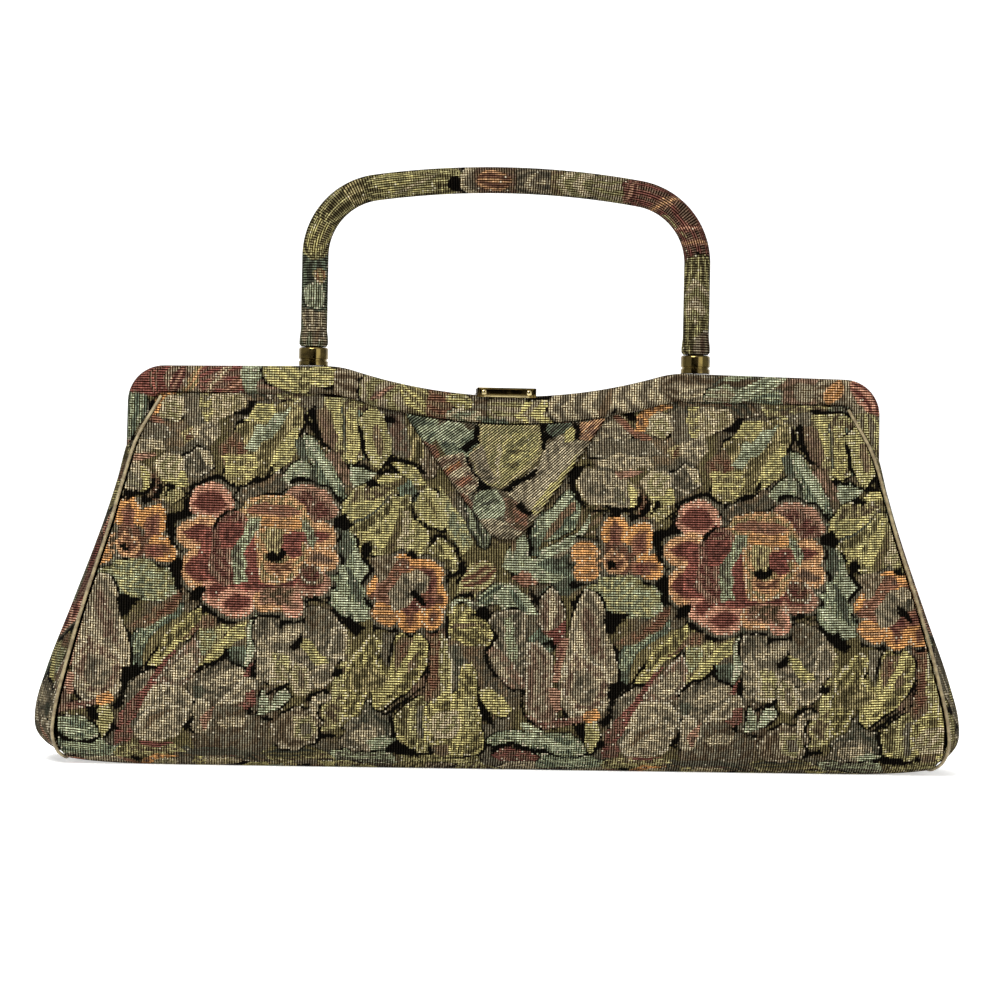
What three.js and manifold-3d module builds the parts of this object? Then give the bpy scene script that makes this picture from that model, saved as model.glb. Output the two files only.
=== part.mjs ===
// Frame handbag: a brocade body on a cloth-covered frame, a covered arch handle and a brass lift clasp.
// Millimetres, +Z up, front towards -Y, base on Z = 0, middle of the bag on X = 0 and Y = 0.
import * as THREE from 'three';
import { mergeVertices } from 'three/addons/utils/BufferGeometryUtils.js';
import Module from 'manifold-3d';

// Clearance and cloth
const GAP = 0.3;
const WALL = 1.5;
const FLAP_WALL = 1.8;
const PIPING_RADIUS = 1;
const SEAM_INSET = 1.6; // from the piping's middle to the edge of the cloth beside it
const SEAM_PROUD = 0.3; // from the piping's middle out to the face of the cloth beside it

// The seam between the main panel and a gusset, a row for each level from the frame down to the base middle.
// z and half are the seam's place in front view, deep its distance from the middle plane in side view.
// belly: how far the panel's middle stands out past the seam; sag: how far it lies below the seam.
// bulge: how far the gusset's middle stands out past the seam.
const SEAM = [
  { z: 141.5, half: 133.8, deep: 10.8, belly: -4.8, sag: 0, bulge: 3.6 },
  { z: 124.5, half: 142.9, deep: 14.6, belly: -1.5, sag: 0, bulge: 5.5 },
  { z: 109, half: 147.5, deep: 18, belly: 1, sag: 0, bulge: 2.8 },
  { z: 93, half: 151.8, deep: 21.3, belly: 3, sag: 0, bulge: 3.2 },
  { z: 62, half: 161.2, deep: 27.3, belly: 4, sag: 0, bulge: 5 },
  { z: 36, half: 168, deep: 31.8, belly: 3.6, sag: 0, bulge: 7.8 },
  { z: 20, half: 171.4, deep: 33.2, belly: 3, sag: 0, bulge: 8.6 },
  { z: 11, half: 172, deep: 32.2, belly: 2.6, sag: 0.3, bulge: 7.4 },
  { z: 5.2, half: 170.2, deep: 28.4, belly: 1.6, sag: 1.2, bulge: 4.6 },
  { z: 2.4, half: 167.6, deep: 22.5, belly: 0.4, sag: 2.1, bulge: 1.6 },
  { z: 2, half: 166.6, deep: 12, belly: 0, sag: 1.7, bulge: 0 },
  { z: 2, half: 166.6, deep: 0, belly: 0, sag: 1.7, bulge: 0 },
];
const CORNER_ROW = 7; // where the wall starts to turn under
const BASE_ROW = 9; // where it has become the base
const STEPS_PER_LEVEL = 2;
const PANEL_COLUMNS = 22;
const GUSSET_COLUMNS = 10;
const PIPING_SIDES = 8;
const BELLY_POWER = 4;
const SAG_POWER = 12;
const LIFT_END_Z = 62; // below this level the panel's rows no longer follow the frame's dip
const GUSSET_POWER_LOW = 2.4;
const GUSSET_POWER_HIGH = 4;
const GUSSET_TOP_Z = 136;
const GUSSET_NOTCH_Z = 122; // above this level the gusset only closes the slits beside the frame's arms

// Frame: two cloth-covered halves with a dip in the middle and an arm at each end
const FRAME_BAND = 10.8;
const FRAME_THICK = 9;
const FRAME_ROUND = 2;
const FRAME_SPLIT = 0.2; // half of the slit between the two halves
const SHOULDER_Z = 154.4;
const SHOULDER_FALL = 1; // from the handle out to the corner
const DIP_DEPTH = 10.3;
const DIP_RADIUS = 206;
const BLEND_RADIUS = 36;
const CORNER_RADIUS = 14;
const ARM_TOP_X = 147.7;
const ARM_END_X = 145.9;
const ARM_END_Z = 108;
const HINGE_PIN_RADIUS = 1.5;
const HINGE_PIN_LENGTH = 15.4;
const HINGE_PIN_Z = 113;
const FRAME_FACE_Y = FRAME_SPLIT + FRAME_THICK;

// Pointed tab under the clasp
const FLAP_HALF = 40;
const FLAP_TIP_Z = 88;
const FLAP_TIP_RADIUS = 9;
const FLAP_ROWS = 12;
const FLAP_COLUMNS = 8;
const FLAP_TIP_STEP = 0.3; // the lowest row's height above the tip
const FLAP_TOP_DROP = 1.4; // the highest row's distance down from the crease, which clears the frame
const FLAP_CROWDING = 1.5; // above 1, the rows lie closer together towards the tip

// Handle, on the back half of the frame
const HANDLE_X = 75.1;
const HANDLE_Y = FRAME_SPLIT + FRAME_THICK / 2;
const HANDLE_RADIUS = 5.15;
const HANDLE_END_RADIUS = 5.6;
const HANDLE_END_LENGTH = 7;
const HANDLE_CORNER_Z = 198;
const HANDLE_CORNER_RADIUS = 27.5;
const HANDLE_APEX_Z = 229.2; // middle of the cord at the top of the arch
const HANDLE_SIDES = 12;

// Ferrules, from the frame upwards
const FERRULE_RADIUS = 5.75;
const FERRULE_COLLAR = 2;
const FERRULE_GROOVE = 0.6;
const FERRULE_GROOVE_DEPTH = 0.5;
const FERRULE_BARREL = 4.7;
const FERRULE_CHAMFER = 0.8;
const FERRULE_SIDES = 18;
const SPIGOT_RADIUS = 2;
const SPIGOT_LENGTH = 6;

// Clasp: plate and ears on the back half, lever over both halves, catch on the front half
const CLASP_HALF = 11.5;
const CLASP_PLATE_Y = [0.8, 8.4];
const CLASP_PLATE_THICK = 0.6;
const EAR_X = [9.6, 11.2];
const EAR_Y = [2.4, 5.6];
const EAR_TOP_Z = 147.2;
const PIVOT_Y = 4;
const PIVOT_Z = 146.45;
const KNUCKLE_RADIUS = 0.85;
const PIVOT_PIN_RADIUS = 0.5;
const PIVOT_PIN_HALF = 11;
const LEVER_TOP_Z = 147.3;
const LEVER_THICK = 1;
const LIP_BOTTOM_Z = 143.6;
const LIP_GAP = 0.4;
const KNOB_X = 8.8;
const KNOB_RADIUS = 1;
const KNOB_PROUD = 0.5;
const BEAD_RADIUS = 0.4;
const CATCH_SIZE = { x: 6, y: 3, z: 1.1 };
const FINE_SIDES = 12;

const wasm = await Module();
wasm.setup();

// Meshes and solids

function signedVolume(positions, triangles) {
  const [a, b, c] = [new THREE.Vector3(), new THREE.Vector3(), new THREE.Vector3()];
  let sum = 0;
  for (const [i, j, k] of triangles) {
    a.fromArray(positions, 3 * i);
    b.fromArray(positions, 3 * j);
    c.fromArray(positions, 3 * k);
    sum += a.dot(b.cross(c));
  }
  return sum / 6;
}

// A closed body from points and triangles, turned to face outwards.
function closedGeometry(points, triangles) {
  const positions = points.flatMap((point) => [point.x, point.y, point.z]);
  const inverted = signedVolume(positions, triangles) < 0;
  const index = triangles.flatMap(([i, j, k]) => (inverted ? [i, k, j] : [i, j, k]));
  const geometry = new THREE.BufferGeometry();
  geometry.setAttribute('position', new THREE.Float32BufferAttribute(positions, 3));
  geometry.setIndex(index);
  return geometry;
}

function quad(i, j, k, l) {
  return [[i, j, k], [i, k, l]];
}

// A bar through rings of equally many points, closed by a flat cap at each end.
function loft(rings) {
  const size = rings[0].length;
  const points = rings.flat();
  const triangles = [];
  for (let ring = 0; ring + 1 < rings.length; ring += 1) {
    for (let side = 0; side < size; side += 1) {
      const next = (side + 1) % size;
      const here = ring * size;
      triangles.push(...quad(here + side, here + next, here + size + next, here + size + side));
    }
  }
  const last = (rings.length - 1) * size;
  for (let side = 1; side + 1 < size; side += 1) {
    triangles.push([0, side + 1, side]);
    triangles.push([last, last + side, last + side + 1]);
  }
  return closedGeometry(points, triangles);
}

// The direction out of a grid of points whose rows run down the cloth and columns to the right.
function gridNormal(rows, i, j) {
  const below = rows[Math.min(i + 1, rows.length - 1)][j];
  const above = rows[Math.max(i - 1, 0)][j];
  const right = rows[i][Math.min(j + 1, rows[i].length - 1)];
  const left = rows[i][Math.max(j - 1, 0)];
  const down = below.clone().sub(above);
  const across = right.clone().sub(left);
  return down.cross(across).normalize();
}

function offsetGrid(rows, distance) {
  return rows.map((row, i) => row.map((point, j) => (
    point.clone().addScaledVector(gridNormal(rows, i, j), distance)
  )));
}

// A closed cloth wall: a grid of points on its outer face, thickened inwards.
function clothWall(outer, thickness) {
  const inner = offsetGrid(outer, -thickness);
  const columns = outer[0].length;
  const count = outer.length * columns;
  const front = (i, j) => i * columns + j;
  const back = (i, j) => count + front(i, j);
  const triangles = [];
  const lastRow = outer.length - 1;
  const lastColumn = columns - 1;
  for (let i = 0; i < lastRow; i += 1) {
    for (let j = 0; j < lastColumn; j += 1) {
      triangles.push(...quad(front(i, j), front(i + 1, j), front(i + 1, j + 1), front(i, j + 1)));
      triangles.push(...quad(back(i, j), back(i, j + 1), back(i + 1, j + 1), back(i + 1, j)));
    }
    triangles.push(...quad(front(i + 1, 0), front(i, 0), back(i, 0), back(i + 1, 0)));
    triangles.push(...quad(
      front(i, lastColumn), front(i + 1, lastColumn), back(i + 1, lastColumn), back(i, lastColumn),
    ));
  }
  for (let j = 0; j < lastColumn; j += 1) {
    triangles.push(...quad(front(0, j), front(0, j + 1), back(0, j + 1), back(0, j)));
    triangles.push(...quad(
      front(lastRow, j + 1), front(lastRow, j), back(lastRow, j), back(lastRow, j + 1),
    ));
  }
  return closedGeometry([...outer.flat(), ...inner.flat()], triangles);
}

function toSolid(geometry) {
  const bare = geometry.clone();
  bare.deleteAttribute('normal');
  bare.deleteAttribute('uv');
  const merged = mergeVertices(bare, 1e-4);
  return new wasm.Manifold(new wasm.Mesh({
    numProp: 3,
    vertProperties: new Float32Array(merged.attributes.position.array),
    triVerts: new Uint32Array(merged.index.array),
  }));
}

function toGeometry(solid) {
  const mesh = solid.getMesh();
  const geometry = new THREE.BufferGeometry();
  geometry.setAttribute('position', new THREE.Float32BufferAttribute(mesh.vertProperties, 3));
  geometry.setIndex([...mesh.triVerts]);
  return geometry;
}

function cut(geometry, tools) {
  return toGeometry(tools.reduce((solid, tool) => solid.subtract(toSolid(tool)), toSolid(geometry)));
}

function join(geometries) {
  return toGeometry(geometries.map(toSolid).reduce((whole, solid) => whole.add(solid)));
}

// A box given by its lowest and highest values along each axis.
function block([x0, x1], [y0, y1], [z0, z1]) {
  const geometry = new THREE.BoxGeometry(x1 - x0, y1 - y0, z1 - z0);
  return geometry.translate((x0 + x1) / 2, (y0 + y1) / 2, (z0 + z1) / 2);
}

function rodAlongX(radius, x0, x1, y, z, sides) {
  const geometry = new THREE.CylinderGeometry(radius, radius, x1 - x0, sides);
  return geometry.rotateZ(Math.PI / 2).translate((x0 + x1) / 2, y, z);
}

function rodAlongY(radius, y0, y1, x, z, sides) {
  const geometry = new THREE.CylinderGeometry(radius, radius, y1 - y0, sides);
  return geometry.translate(x, (y0 + y1) / 2, z);
}

function rodAlongZ(radius, z0, z1, x, y, sides) {
  const geometry = new THREE.CylinderGeometry(radius, radius, z1 - z0, sides);
  return geometry.rotateX(Math.PI / 2).translate(x, y, (z0 + z1) / 2);
}

function mirrored(x) {
  return { left: -x, right: x };
}

// Frame outline

const DIP_ANGLE = Math.acos(1 - DIP_DEPTH / (DIP_RADIUS + BLEND_RADIUS));
const DIP_CENTRE_Z = SHOULDER_Z - DIP_DEPTH + DIP_RADIUS;
const BLEND_X = (DIP_RADIUS + BLEND_RADIUS) * Math.sin(DIP_ANGLE);
const BLEND_CENTRE_Z = SHOULDER_Z - BLEND_RADIUS;
const CORNER_X = ARM_TOP_X - CORNER_RADIUS;
const CORNER_Z = SHOULDER_Z - SHOULDER_FALL - CORNER_RADIUS;

// Height of the line that lies a given inset inside the frame's top edge.
function frameLine(x, inset) {
  const reach = Math.abs(x);
  if (reach < (DIP_RADIUS + inset) * Math.sin(DIP_ANGLE)) {
    return DIP_CENTRE_Z - Math.sqrt((DIP_RADIUS + inset) ** 2 - reach ** 2);
  }
  if (reach < BLEND_X) {
    return BLEND_CENTRE_Z + Math.sqrt((BLEND_RADIUS - inset) ** 2 - (reach - BLEND_X) ** 2);
  }
  const fall = SHOULDER_FALL * (reach - BLEND_X) / (CORNER_X - BLEND_X);
  return SHOULDER_Z - inset - fall;
}

// Stations from the middle of the frame to the end of its right arm, with the direction into the bag.
function frameStations() {
  const stations = [];
  const dipSteps = 7;
  for (let step = 0; step <= dipSteps; step += 1) {
    const angle = DIP_ANGLE * step / dipSteps;
    const [into, down] = [Math.sin(angle), -Math.cos(angle)];
    stations.push({ x: DIP_RADIUS * into, z: DIP_CENTRE_Z + DIP_RADIUS * down, into, down });
  }
  const blendSteps = 3;
  for (let step = 1; step <= blendSteps; step += 1) {
    const angle = DIP_ANGLE * (1 - step / blendSteps);
    const [into, down] = [Math.sin(angle), -Math.cos(angle)];
    stations.push({ x: BLEND_X - BLEND_RADIUS * into, z: BLEND_CENTRE_Z - BLEND_RADIUS * down, into, down });
  }
  const cornerSteps = 6;
  for (let step = 0; step <= cornerSteps; step += 1) {
    const angle = Math.PI / 2 * (1 - step / cornerSteps);
    const [into, down] = [-Math.cos(angle), -Math.sin(angle)];
    stations.push({ x: CORNER_X - CORNER_RADIUS * into, z: CORNER_Z - CORNER_RADIUS * down, into, down });
  }
  stations.push({ x: ARM_END_X, z: ARM_END_Z, into: -1, down: 0 });
  return stations;
}

// A rounded rectangle's points, as distances into the band and through its thickness.
function bandSection() {
  const cornerSteps = 2;
  const corners = [
    { inset: FRAME_BAND - FRAME_ROUND, through: FRAME_THICK - FRAME_ROUND, start: 0 },
    { inset: FRAME_ROUND, through: FRAME_THICK - FRAME_ROUND, start: 1 },
    { inset: FRAME_ROUND, through: FRAME_ROUND, start: 2 },
    { inset: FRAME_BAND - FRAME_ROUND, through: FRAME_ROUND, start: 3 },
  ];
  return corners.flatMap(({ inset, through, start }) => (
    Array.from({ length: cornerSteps + 1 }, (_, step) => {
      const angle = (start + step / cornerSteps) * Math.PI / 2;
      return {
        inset: inset + FRAME_ROUND * Math.cos(angle),
        through: through + FRAME_ROUND * Math.sin(angle),
      };
    })
  ));
}

// One half of the frame; side is -1 for the front half and 1 for the back half.
function frameHalf(side) {
  const right = frameStations();
  const left = right.slice(1).reverse().map(({ x, z, into, down }) => ({ x: -x, z, into: -into, down }));
  const section = bandSection();
  const rings = [...left, ...right].map(({ x, z, into, down }) => (
    section.map(({ inset, through }) => (
      new THREE.Vector3(x + into * inset, side * (FRAME_SPLIT + through), z + down * inset)
    ))
  ));
  return loft(rings);
}

const ARM_SLOPE = (ARM_TOP_X - ARM_END_X) / (CORNER_Z - ARM_END_Z);
const HINGE_PIN_X = ARM_END_X + ARM_SLOPE * (HINGE_PIN_Z - ARM_END_Z) - FRAME_BAND / 2;

function hingePin(x) {
  const half = HINGE_PIN_LENGTH / 2;
  return rodAlongY(HINGE_PIN_RADIUS, -half, half, x, HINGE_PIN_Z, FINE_SIDES);
}

function hingeBores() {
  const reach = HINGE_PIN_LENGTH / 2 + GAP;
  return Object.values(mirrored(HINGE_PIN_X)).map((x) => (
    rodAlongY(HINGE_PIN_RADIUS + GAP, -reach, reach, x, HINGE_PIN_Z, FINE_SIDES)
  ));
}

function spigotBores() {
  const depth = SPIGOT_LENGTH + GAP;
  return Object.values(mirrored(HANDLE_X)).map((x) => (
    rodAlongZ(SPIGOT_RADIUS + GAP, SHOULDER_Z - depth, SHOULDER_Z + depth, x, HANDLE_Y, FINE_SIDES)
  ));
}

function frameFront() {
  return cut(frameHalf(-1), hingeBores());
}

function frameBack() {
  return cut(frameHalf(1), [...hingeBores(), ...spigotBores()]);
}

// Cloth body

const COLUMN_NAMES = ['half', 'deep', 'z', 'belly', 'sag', 'bulge'];

function seamDistances() {
  let distance = 0;
  return SEAM.map((row, i) => {
    const before = SEAM[Math.max(i - 1, 0)];
    distance += Math.hypot(row.half - before.half, row.deep - before.deep, row.z - before.z);
    return distance;
  });
}

const SEAM_DISTANCES = seamDistances();
const SEAM_CURVE = new THREE.CubicInterpolant(
  SEAM_DISTANCES,
  SEAM.flatMap((row) => COLUMN_NAMES.map((name) => row[name])),
  COLUMN_NAMES.length,
);

// The seam table's values a given distance along the seam, below its top.
function seamAt(distance) {
  const values = SEAM_CURVE.evaluate(distance);
  return Object.fromEntries(COLUMN_NAMES.map((name, i) => [name, values[i]]));
}

// Distances from the top of the seam to the base middle, evenly spaced within each level.
function seamSteps() {
  const steps = [0];
  for (let row = 1; row < SEAM.length; row += 1) {
    for (let step = 1; step <= STEPS_PER_LEVEL; step += 1) {
      const share = step / STEPS_PER_LEVEL;
      steps.push(THREE.MathUtils.lerp(SEAM_DISTANCES[row - 1], SEAM_DISTANCES[row], share));
    }
  }
  return steps;
}

function liftAt(z) {
  return THREE.MathUtils.smoothstep(z, LIFT_END_Z, SEAM[0].z);
}

// A point on the panel's outer face, a given distance down the seam and a signed share of the way across.
function panelPoint(distance, share) {
  const { half, deep, z, belly, sag } = seamAt(distance);
  const x = share * (half - SEAM_INSET);
  const crease = frameLine(x, FRAME_BAND) - GAP;
  const middle = 1 - Math.abs(share) ** BELLY_POWER;
  const low = 1 - Math.abs(share) ** SAG_POWER;
  const level = z + liftAt(z) * (crease - SEAM[0].z) - sag * low;
  const [corner, base] = [SEAM_DISTANCES[CORNER_ROW], SEAM_DISTANCES[BASE_ROW]];
  const upright = 1 - THREE.MathUtils.smoothstep(distance, corner, base);
  const y = -(deep + belly * middle + SEAM_PROUD * upright);
  return new THREE.Vector3(x, y, level - SEAM_PROUD * (1 - upright));
}

function mirrorFrontToBack(point) {
  return point.clone().multiply(new THREE.Vector3(1, -1, 1));
}

function panelRows() {
  const shares = Array.from({ length: PANEL_COLUMNS + 1 }, (_, j) => 2 * j / PANEL_COLUMNS - 1);
  const front = seamSteps().map((distance) => shares.map((share) => panelPoint(distance, share)));
  const back = front.slice(0, -1).reverse().map((row) => row.map(mirrorFrontToBack));
  return [...front, ...back];
}

function mainPanel() {
  return clothWall(panelRows(), WALL);
}

// The gusset's edge at a level: the seam's place in side view, moved inwards at right angles to the seam.
function gussetEdge(distance) {
  const step = 0.5;
  const before = seamAt(distance - step);
  const after = seamAt(distance + step);
  const deeper = after.deep - before.deep;
  const higher = after.z - before.z;
  const length = Math.hypot(deeper, higher);
  const { deep, z } = seamAt(distance);
  return { reach: deep + SEAM_INSET * higher / length, level: z - SEAM_INSET * deeper / length };
}

function gussetRow(distance, side) {
  const { half, z, bulge } = seamAt(distance);
  const { reach, level } = gussetEdge(distance);
  const power = THREE.MathUtils.lerp(GUSSET_POWER_LOW, GUSSET_POWER_HIGH, liftAt(z));
  return Array.from({ length: GUSSET_COLUMNS + 1 }, (_, j) => {
    const share = side * (2 * j / GUSSET_COLUMNS - 1);
    const x = half + SEAM_PROUD + bulge * (1 - Math.abs(share) ** power);
    return new THREE.Vector3(side * x, share * reach, level);
  });
}

// side is -1 for the left gusset and 1 for the right one
function gusset(side) {
  const last = SEAM_DISTANCES[BASE_ROW];
  const inside = seamSteps().filter((distance) => seamAt(distance).z < GUSSET_TOP_Z && distance < last);
  const first = (SEAM[0].z - GUSSET_TOP_Z) * SEAM_DISTANCES[1] / (SEAM[0].z - SEAM[1].z);
  const rows = [first, ...inside, last].map((distance) => gussetRow(distance, side));
  const width = FRAME_FACE_Y + GAP;
  const notch = block([-2 * ARM_TOP_X, 2 * ARM_TOP_X], [-width, width], [GUSSET_NOTCH_Z, SHOULDER_Z]);
  return cut(clothWall(rows, WALL), [notch]);
}

function ringAround(centre, tangent, outward, radius, sides) {
  const first = outward.clone().addScaledVector(tangent, -outward.dot(tangent)).normalize();
  const second = tangent.clone().cross(first);
  return Array.from({ length: sides }, (_, side) => {
    const angle = 2 * Math.PI * side / sides;
    return centre.clone()
      .addScaledVector(first, radius * Math.cos(angle))
      .addScaledVector(second, radius * Math.sin(angle));
  });
}

function piping(side) {
  const front = seamSteps().map((distance) => {
    const { half, deep, z } = seamAt(distance);
    return new THREE.Vector3(side * half, -deep, z);
  });
  const route = [...front, ...front.slice(0, -1).reverse().map(mirrorFrontToBack)];
  const outward = new THREE.Vector3(side, 0, 0);
  const rings = route.map((point, i) => {
    const next = route[Math.min(i + 1, route.length - 1)];
    const before = route[Math.max(i - 1, 0)];
    const tangent = next.clone().sub(before).normalize();
    return ringAround(point, tangent, outward, PIPING_RADIUS, PIPING_SIDES);
  });
  return loft(rings);
}

// Half width of the tab at a given distance above its tip: straight edges that end in a round tip.
function flapHalf(above, length) {
  const slope = Math.atan2(FLAP_HALF - FLAP_TIP_RADIUS, length - FLAP_TIP_RADIUS);
  const roundTop = FLAP_TIP_RADIUS * (1 - Math.sin(slope));
  if (above < roundTop) {
    return Math.sqrt(FLAP_TIP_RADIUS ** 2 - (FLAP_TIP_RADIUS - above) ** 2);
  }
  const roundHalf = FLAP_TIP_RADIUS * Math.cos(slope);
  return THREE.MathUtils.mapLinear(above, roundTop, length, roundHalf, FLAP_HALF);
}

function flap() {
  const levels = seamSteps().filter((distance) => panelPoint(distance, 0).z > FLAP_TIP_Z);
  const length = levels[levels.length - 1];
  const grid = Array.from({ length: FLAP_ROWS + 1 }, (_, i) => {
    const run = length - FLAP_TOP_DROP - FLAP_TIP_STEP;
    const above = FLAP_TIP_STEP + run * (1 - i / FLAP_ROWS) ** FLAP_CROWDING;
    const distance = length - above;
    const half = flapHalf(above, length);
    return Array.from({ length: FLAP_COLUMNS + 1 }, (__, j) => {
      const x = half * (2 * j / FLAP_COLUMNS - 1);
      return panelPoint(distance, x / (seamAt(distance).half - SEAM_INSET));
    });
  });
  return clothWall(offsetGrid(grid, GAP + FLAP_WALL), FLAP_WALL);
}

// Handle and ferrules

const FERRULE_Z = SHOULDER_Z + GAP;
const FERRULE_TOP_Z = FERRULE_Z + FERRULE_COLLAR + FERRULE_GROOVE + FERRULE_BARREL;

// The crown's arc touches both corner arcs and passes through the apex.
function crownArc() {
  const offset = HANDLE_X - HANDLE_CORNER_RADIUS;
  const rise = HANDLE_APEX_Z - HANDLE_CORNER_Z - HANDLE_CORNER_RADIUS;
  const drop = (offset ** 2 - rise ** 2) / (2 * rise);
  return { radius: drop + rise + HANDLE_CORNER_RADIUS, centreZ: HANDLE_CORNER_Z - drop, offset, drop };
}

// Points on the right half of the arch from the ferrule up to the apex, with tangent and radius.
function handleStations() {
  const { radius, centreZ, offset, drop } = crownArc();
  const foot = FERRULE_TOP_Z + GAP;
  const turn = Math.atan2(offset, drop);
  const stations = [
    { x: HANDLE_X, z: foot, angle: 0, radius: HANDLE_END_RADIUS },
    { x: HANDLE_X, z: foot + HANDLE_END_LENGTH / 3, angle: 0, radius: HANDLE_END_RADIUS },
    { x: HANDLE_X, z: foot + HANDLE_END_LENGTH, angle: 0, radius: HANDLE_RADIUS },
  ];
  const cornerSteps = 8;
  for (let step = 0; step <= cornerSteps; step += 1) {
    const angle = (Math.PI / 2 - turn) * step / cornerSteps;
    const x = offset + HANDLE_CORNER_RADIUS * Math.cos(angle);
    const z = HANDLE_CORNER_Z + HANDLE_CORNER_RADIUS * Math.sin(angle);
    stations.push({ x, z, angle, radius: HANDLE_RADIUS });
  }
  const crownSteps = 4;
  for (let step = 1; step <= crownSteps; step += 1) {
    const angle = Math.PI / 2 - turn * (1 - step / crownSteps);
    const x = radius * Math.cos(angle);
    const z = centreZ + radius * Math.sin(angle);
    stations.push({ x, z, angle, radius: HANDLE_RADIUS });
  }
  return stations;
}

function handle() {
  const right = handleStations();
  const left = right.slice(0, -1).reverse().map((station) => (
    { ...station, x: -station.x, angle: Math.PI - station.angle }
  ));
  const rings = [...right, ...left].map(({ x, z, angle, radius }) => {
    const outward = new THREE.Vector3(Math.cos(angle), 0, Math.sin(angle));
    const tangent = new THREE.Vector3(-Math.sin(angle), 0, Math.cos(angle));
    return ringAround(new THREE.Vector3(x, HANDLE_Y, z), tangent, outward, radius, HANDLE_SIDES);
  });
  const reach = SPIGOT_LENGTH + GAP;
  const [low, high] = [FERRULE_TOP_Z - reach, FERRULE_TOP_Z + reach];
  const bores = Object.values(mirrored(HANDLE_X)).map((x) => (
    rodAlongZ(SPIGOT_RADIUS + GAP, low, high, x, HANDLE_Y, FINE_SIDES)
  ));
  return cut(loft(rings), bores);
}

function ferrule() {
  const groove = FERRULE_RADIUS - FERRULE_GROOVE_DEPTH;
  const collarTop = FERRULE_COLLAR;
  const barrelFoot = FERRULE_COLLAR + FERRULE_GROOVE;
  const top = barrelFoot + FERRULE_BARREL;
  const profile = [
    [0, -SPIGOT_LENGTH],
    [SPIGOT_RADIUS, -SPIGOT_LENGTH],
    [SPIGOT_RADIUS, 0],
    [FERRULE_RADIUS, 0],
    [FERRULE_RADIUS, collarTop],
    [groove, collarTop],
    [groove, barrelFoot],
    [FERRULE_RADIUS, barrelFoot],
    [FERRULE_RADIUS, top - FERRULE_CHAMFER],
    [FERRULE_RADIUS - FERRULE_CHAMFER, top],
    [SPIGOT_RADIUS, top],
    [SPIGOT_RADIUS, top + SPIGOT_LENGTH],
    [0, top + SPIGOT_LENGTH],
  ];
  const points = profile.map(([radius, height]) => new THREE.Vector2(radius, height));
  return new THREE.LatheGeometry(points, FERRULE_SIDES).rotateX(Math.PI / 2);
}

// Clasp

const CLASP_SEAT_Z = frameLine(CLASP_HALF, 0) + GAP;
const PLATE_TOP_Z = CLASP_SEAT_Z + CLASP_PLATE_THICK;
const LIP_BACK_Y = -FRAME_FACE_Y - LIP_GAP;
const LIP_FRONT_Y = LIP_BACK_Y - LEVER_THICK;

function claspBase() {
  const plate = block([-CLASP_HALF, CLASP_HALF], CLASP_PLATE_Y, [CLASP_SEAT_Z, PLATE_TOP_Z]);
  const ears = [-1, 1].map((side) => {
    const [near, far] = EAR_X.map((x) => side * x).sort((a, b) => a - b);
    return block([near, far], EAR_Y, [CLASP_SEAT_Z, EAR_TOP_Z]);
  });
  const bore = rodAlongX(
    PIVOT_PIN_RADIUS + GAP, -CLASP_HALF - GAP, CLASP_HALF + GAP, PIVOT_Y, PIVOT_Z, FINE_SIDES,
  );
  return cut(join([plate, ...ears]), [bore]);
}

function claspLever() {
  const inside = EAR_X[0] - GAP;
  const plate = block([-inside, inside], [LIP_BACK_Y, PIVOT_Y], [LEVER_TOP_Z - LEVER_THICK, LEVER_TOP_Z]);
  const lip = block([-CLASP_HALF, CLASP_HALF], [LIP_FRONT_Y, LIP_BACK_Y], [LIP_BOTTOM_Z, LEVER_TOP_Z]);
  const knuckle = rodAlongX(KNUCKLE_RADIUS, -inside, inside, PIVOT_Y, PIVOT_Z, FINE_SIDES);
  const pin = rodAlongX(PIVOT_PIN_RADIUS, -PIVOT_PIN_HALF, PIVOT_PIN_HALF, PIVOT_Y, PIVOT_Z, FINE_SIDES);
  const lipMiddle = (LIP_BOTTOM_Z + LEVER_TOP_Z) / 2;
  const knobs = Object.values(mirrored(KNOB_X)).map((x) => (
    rodAlongY(KNOB_RADIUS, LIP_FRONT_Y - KNOB_PROUD, LIP_BACK_Y, x, lipMiddle, FINE_SIDES)
  ));
  const bead = rodAlongX(
    BEAD_RADIUS, -KNOB_X, KNOB_X, LIP_FRONT_Y, LIP_BOTTOM_Z + BEAD_RADIUS, FINE_SIDES,
  );
  return join([plate, lip, knuckle, pin, ...knobs, bead]);
}

function claspCatch() {
  const { x, y, z } = CATCH_SIZE;
  const middle = -FRAME_SPLIT - FRAME_THICK / 2;
  const foot = frameLine(0, 0) + GAP;
  return block([-x / 2, x / 2], [middle - y / 2, middle + y / 2], [foot, foot + z]);
}

// Assembly

function material(color, roughness, metalness) {
  return new THREE.MeshStandardMaterial({ color, roughness, metalness });
}

const brocade = () => material(0x77704f, 0.85, 0);
const welt = () => material(0xcdc39c, 0.6, 0);
const brass = () => material(0x9c7f3c, 0.3, 1);
const steel = () => material(0x8d8f92, 0.4, 1);

const handbag = new THREE.Group();

function add(name, geometry, finish, position = [0, 0, 0]) {
  const mesh = new THREE.Mesh(geometry, finish);
  mesh.name = name;
  mesh.position.set(...position);
  handbag.add(mesh);
}

add('main_panel', mainPanel(), brocade());
add('frame_front', frameFront(), brocade());
add('frame_back', frameBack(), brocade());
add('flap', flap(), brocade());
add('handle', handle(), brocade());
for (const [name, side] of Object.entries(mirrored(1))) {
  add(`gusset_${name}`, gusset(side), brocade());
  add(`piping_${name}`, piping(side), welt());
  add(`hinge_pin_${name}`, hingePin(side * HINGE_PIN_X), steel());
  add(`ferrule_${name}`, ferrule(), brass(), [side * HANDLE_X, HANDLE_Y, FERRULE_Z]);
}
add('clasp_base', claspBase(), brass());
add('clasp_lever', claspLever(), brass());
add('clasp_catch', claspCatch(), brass());

export default handbag;
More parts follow.
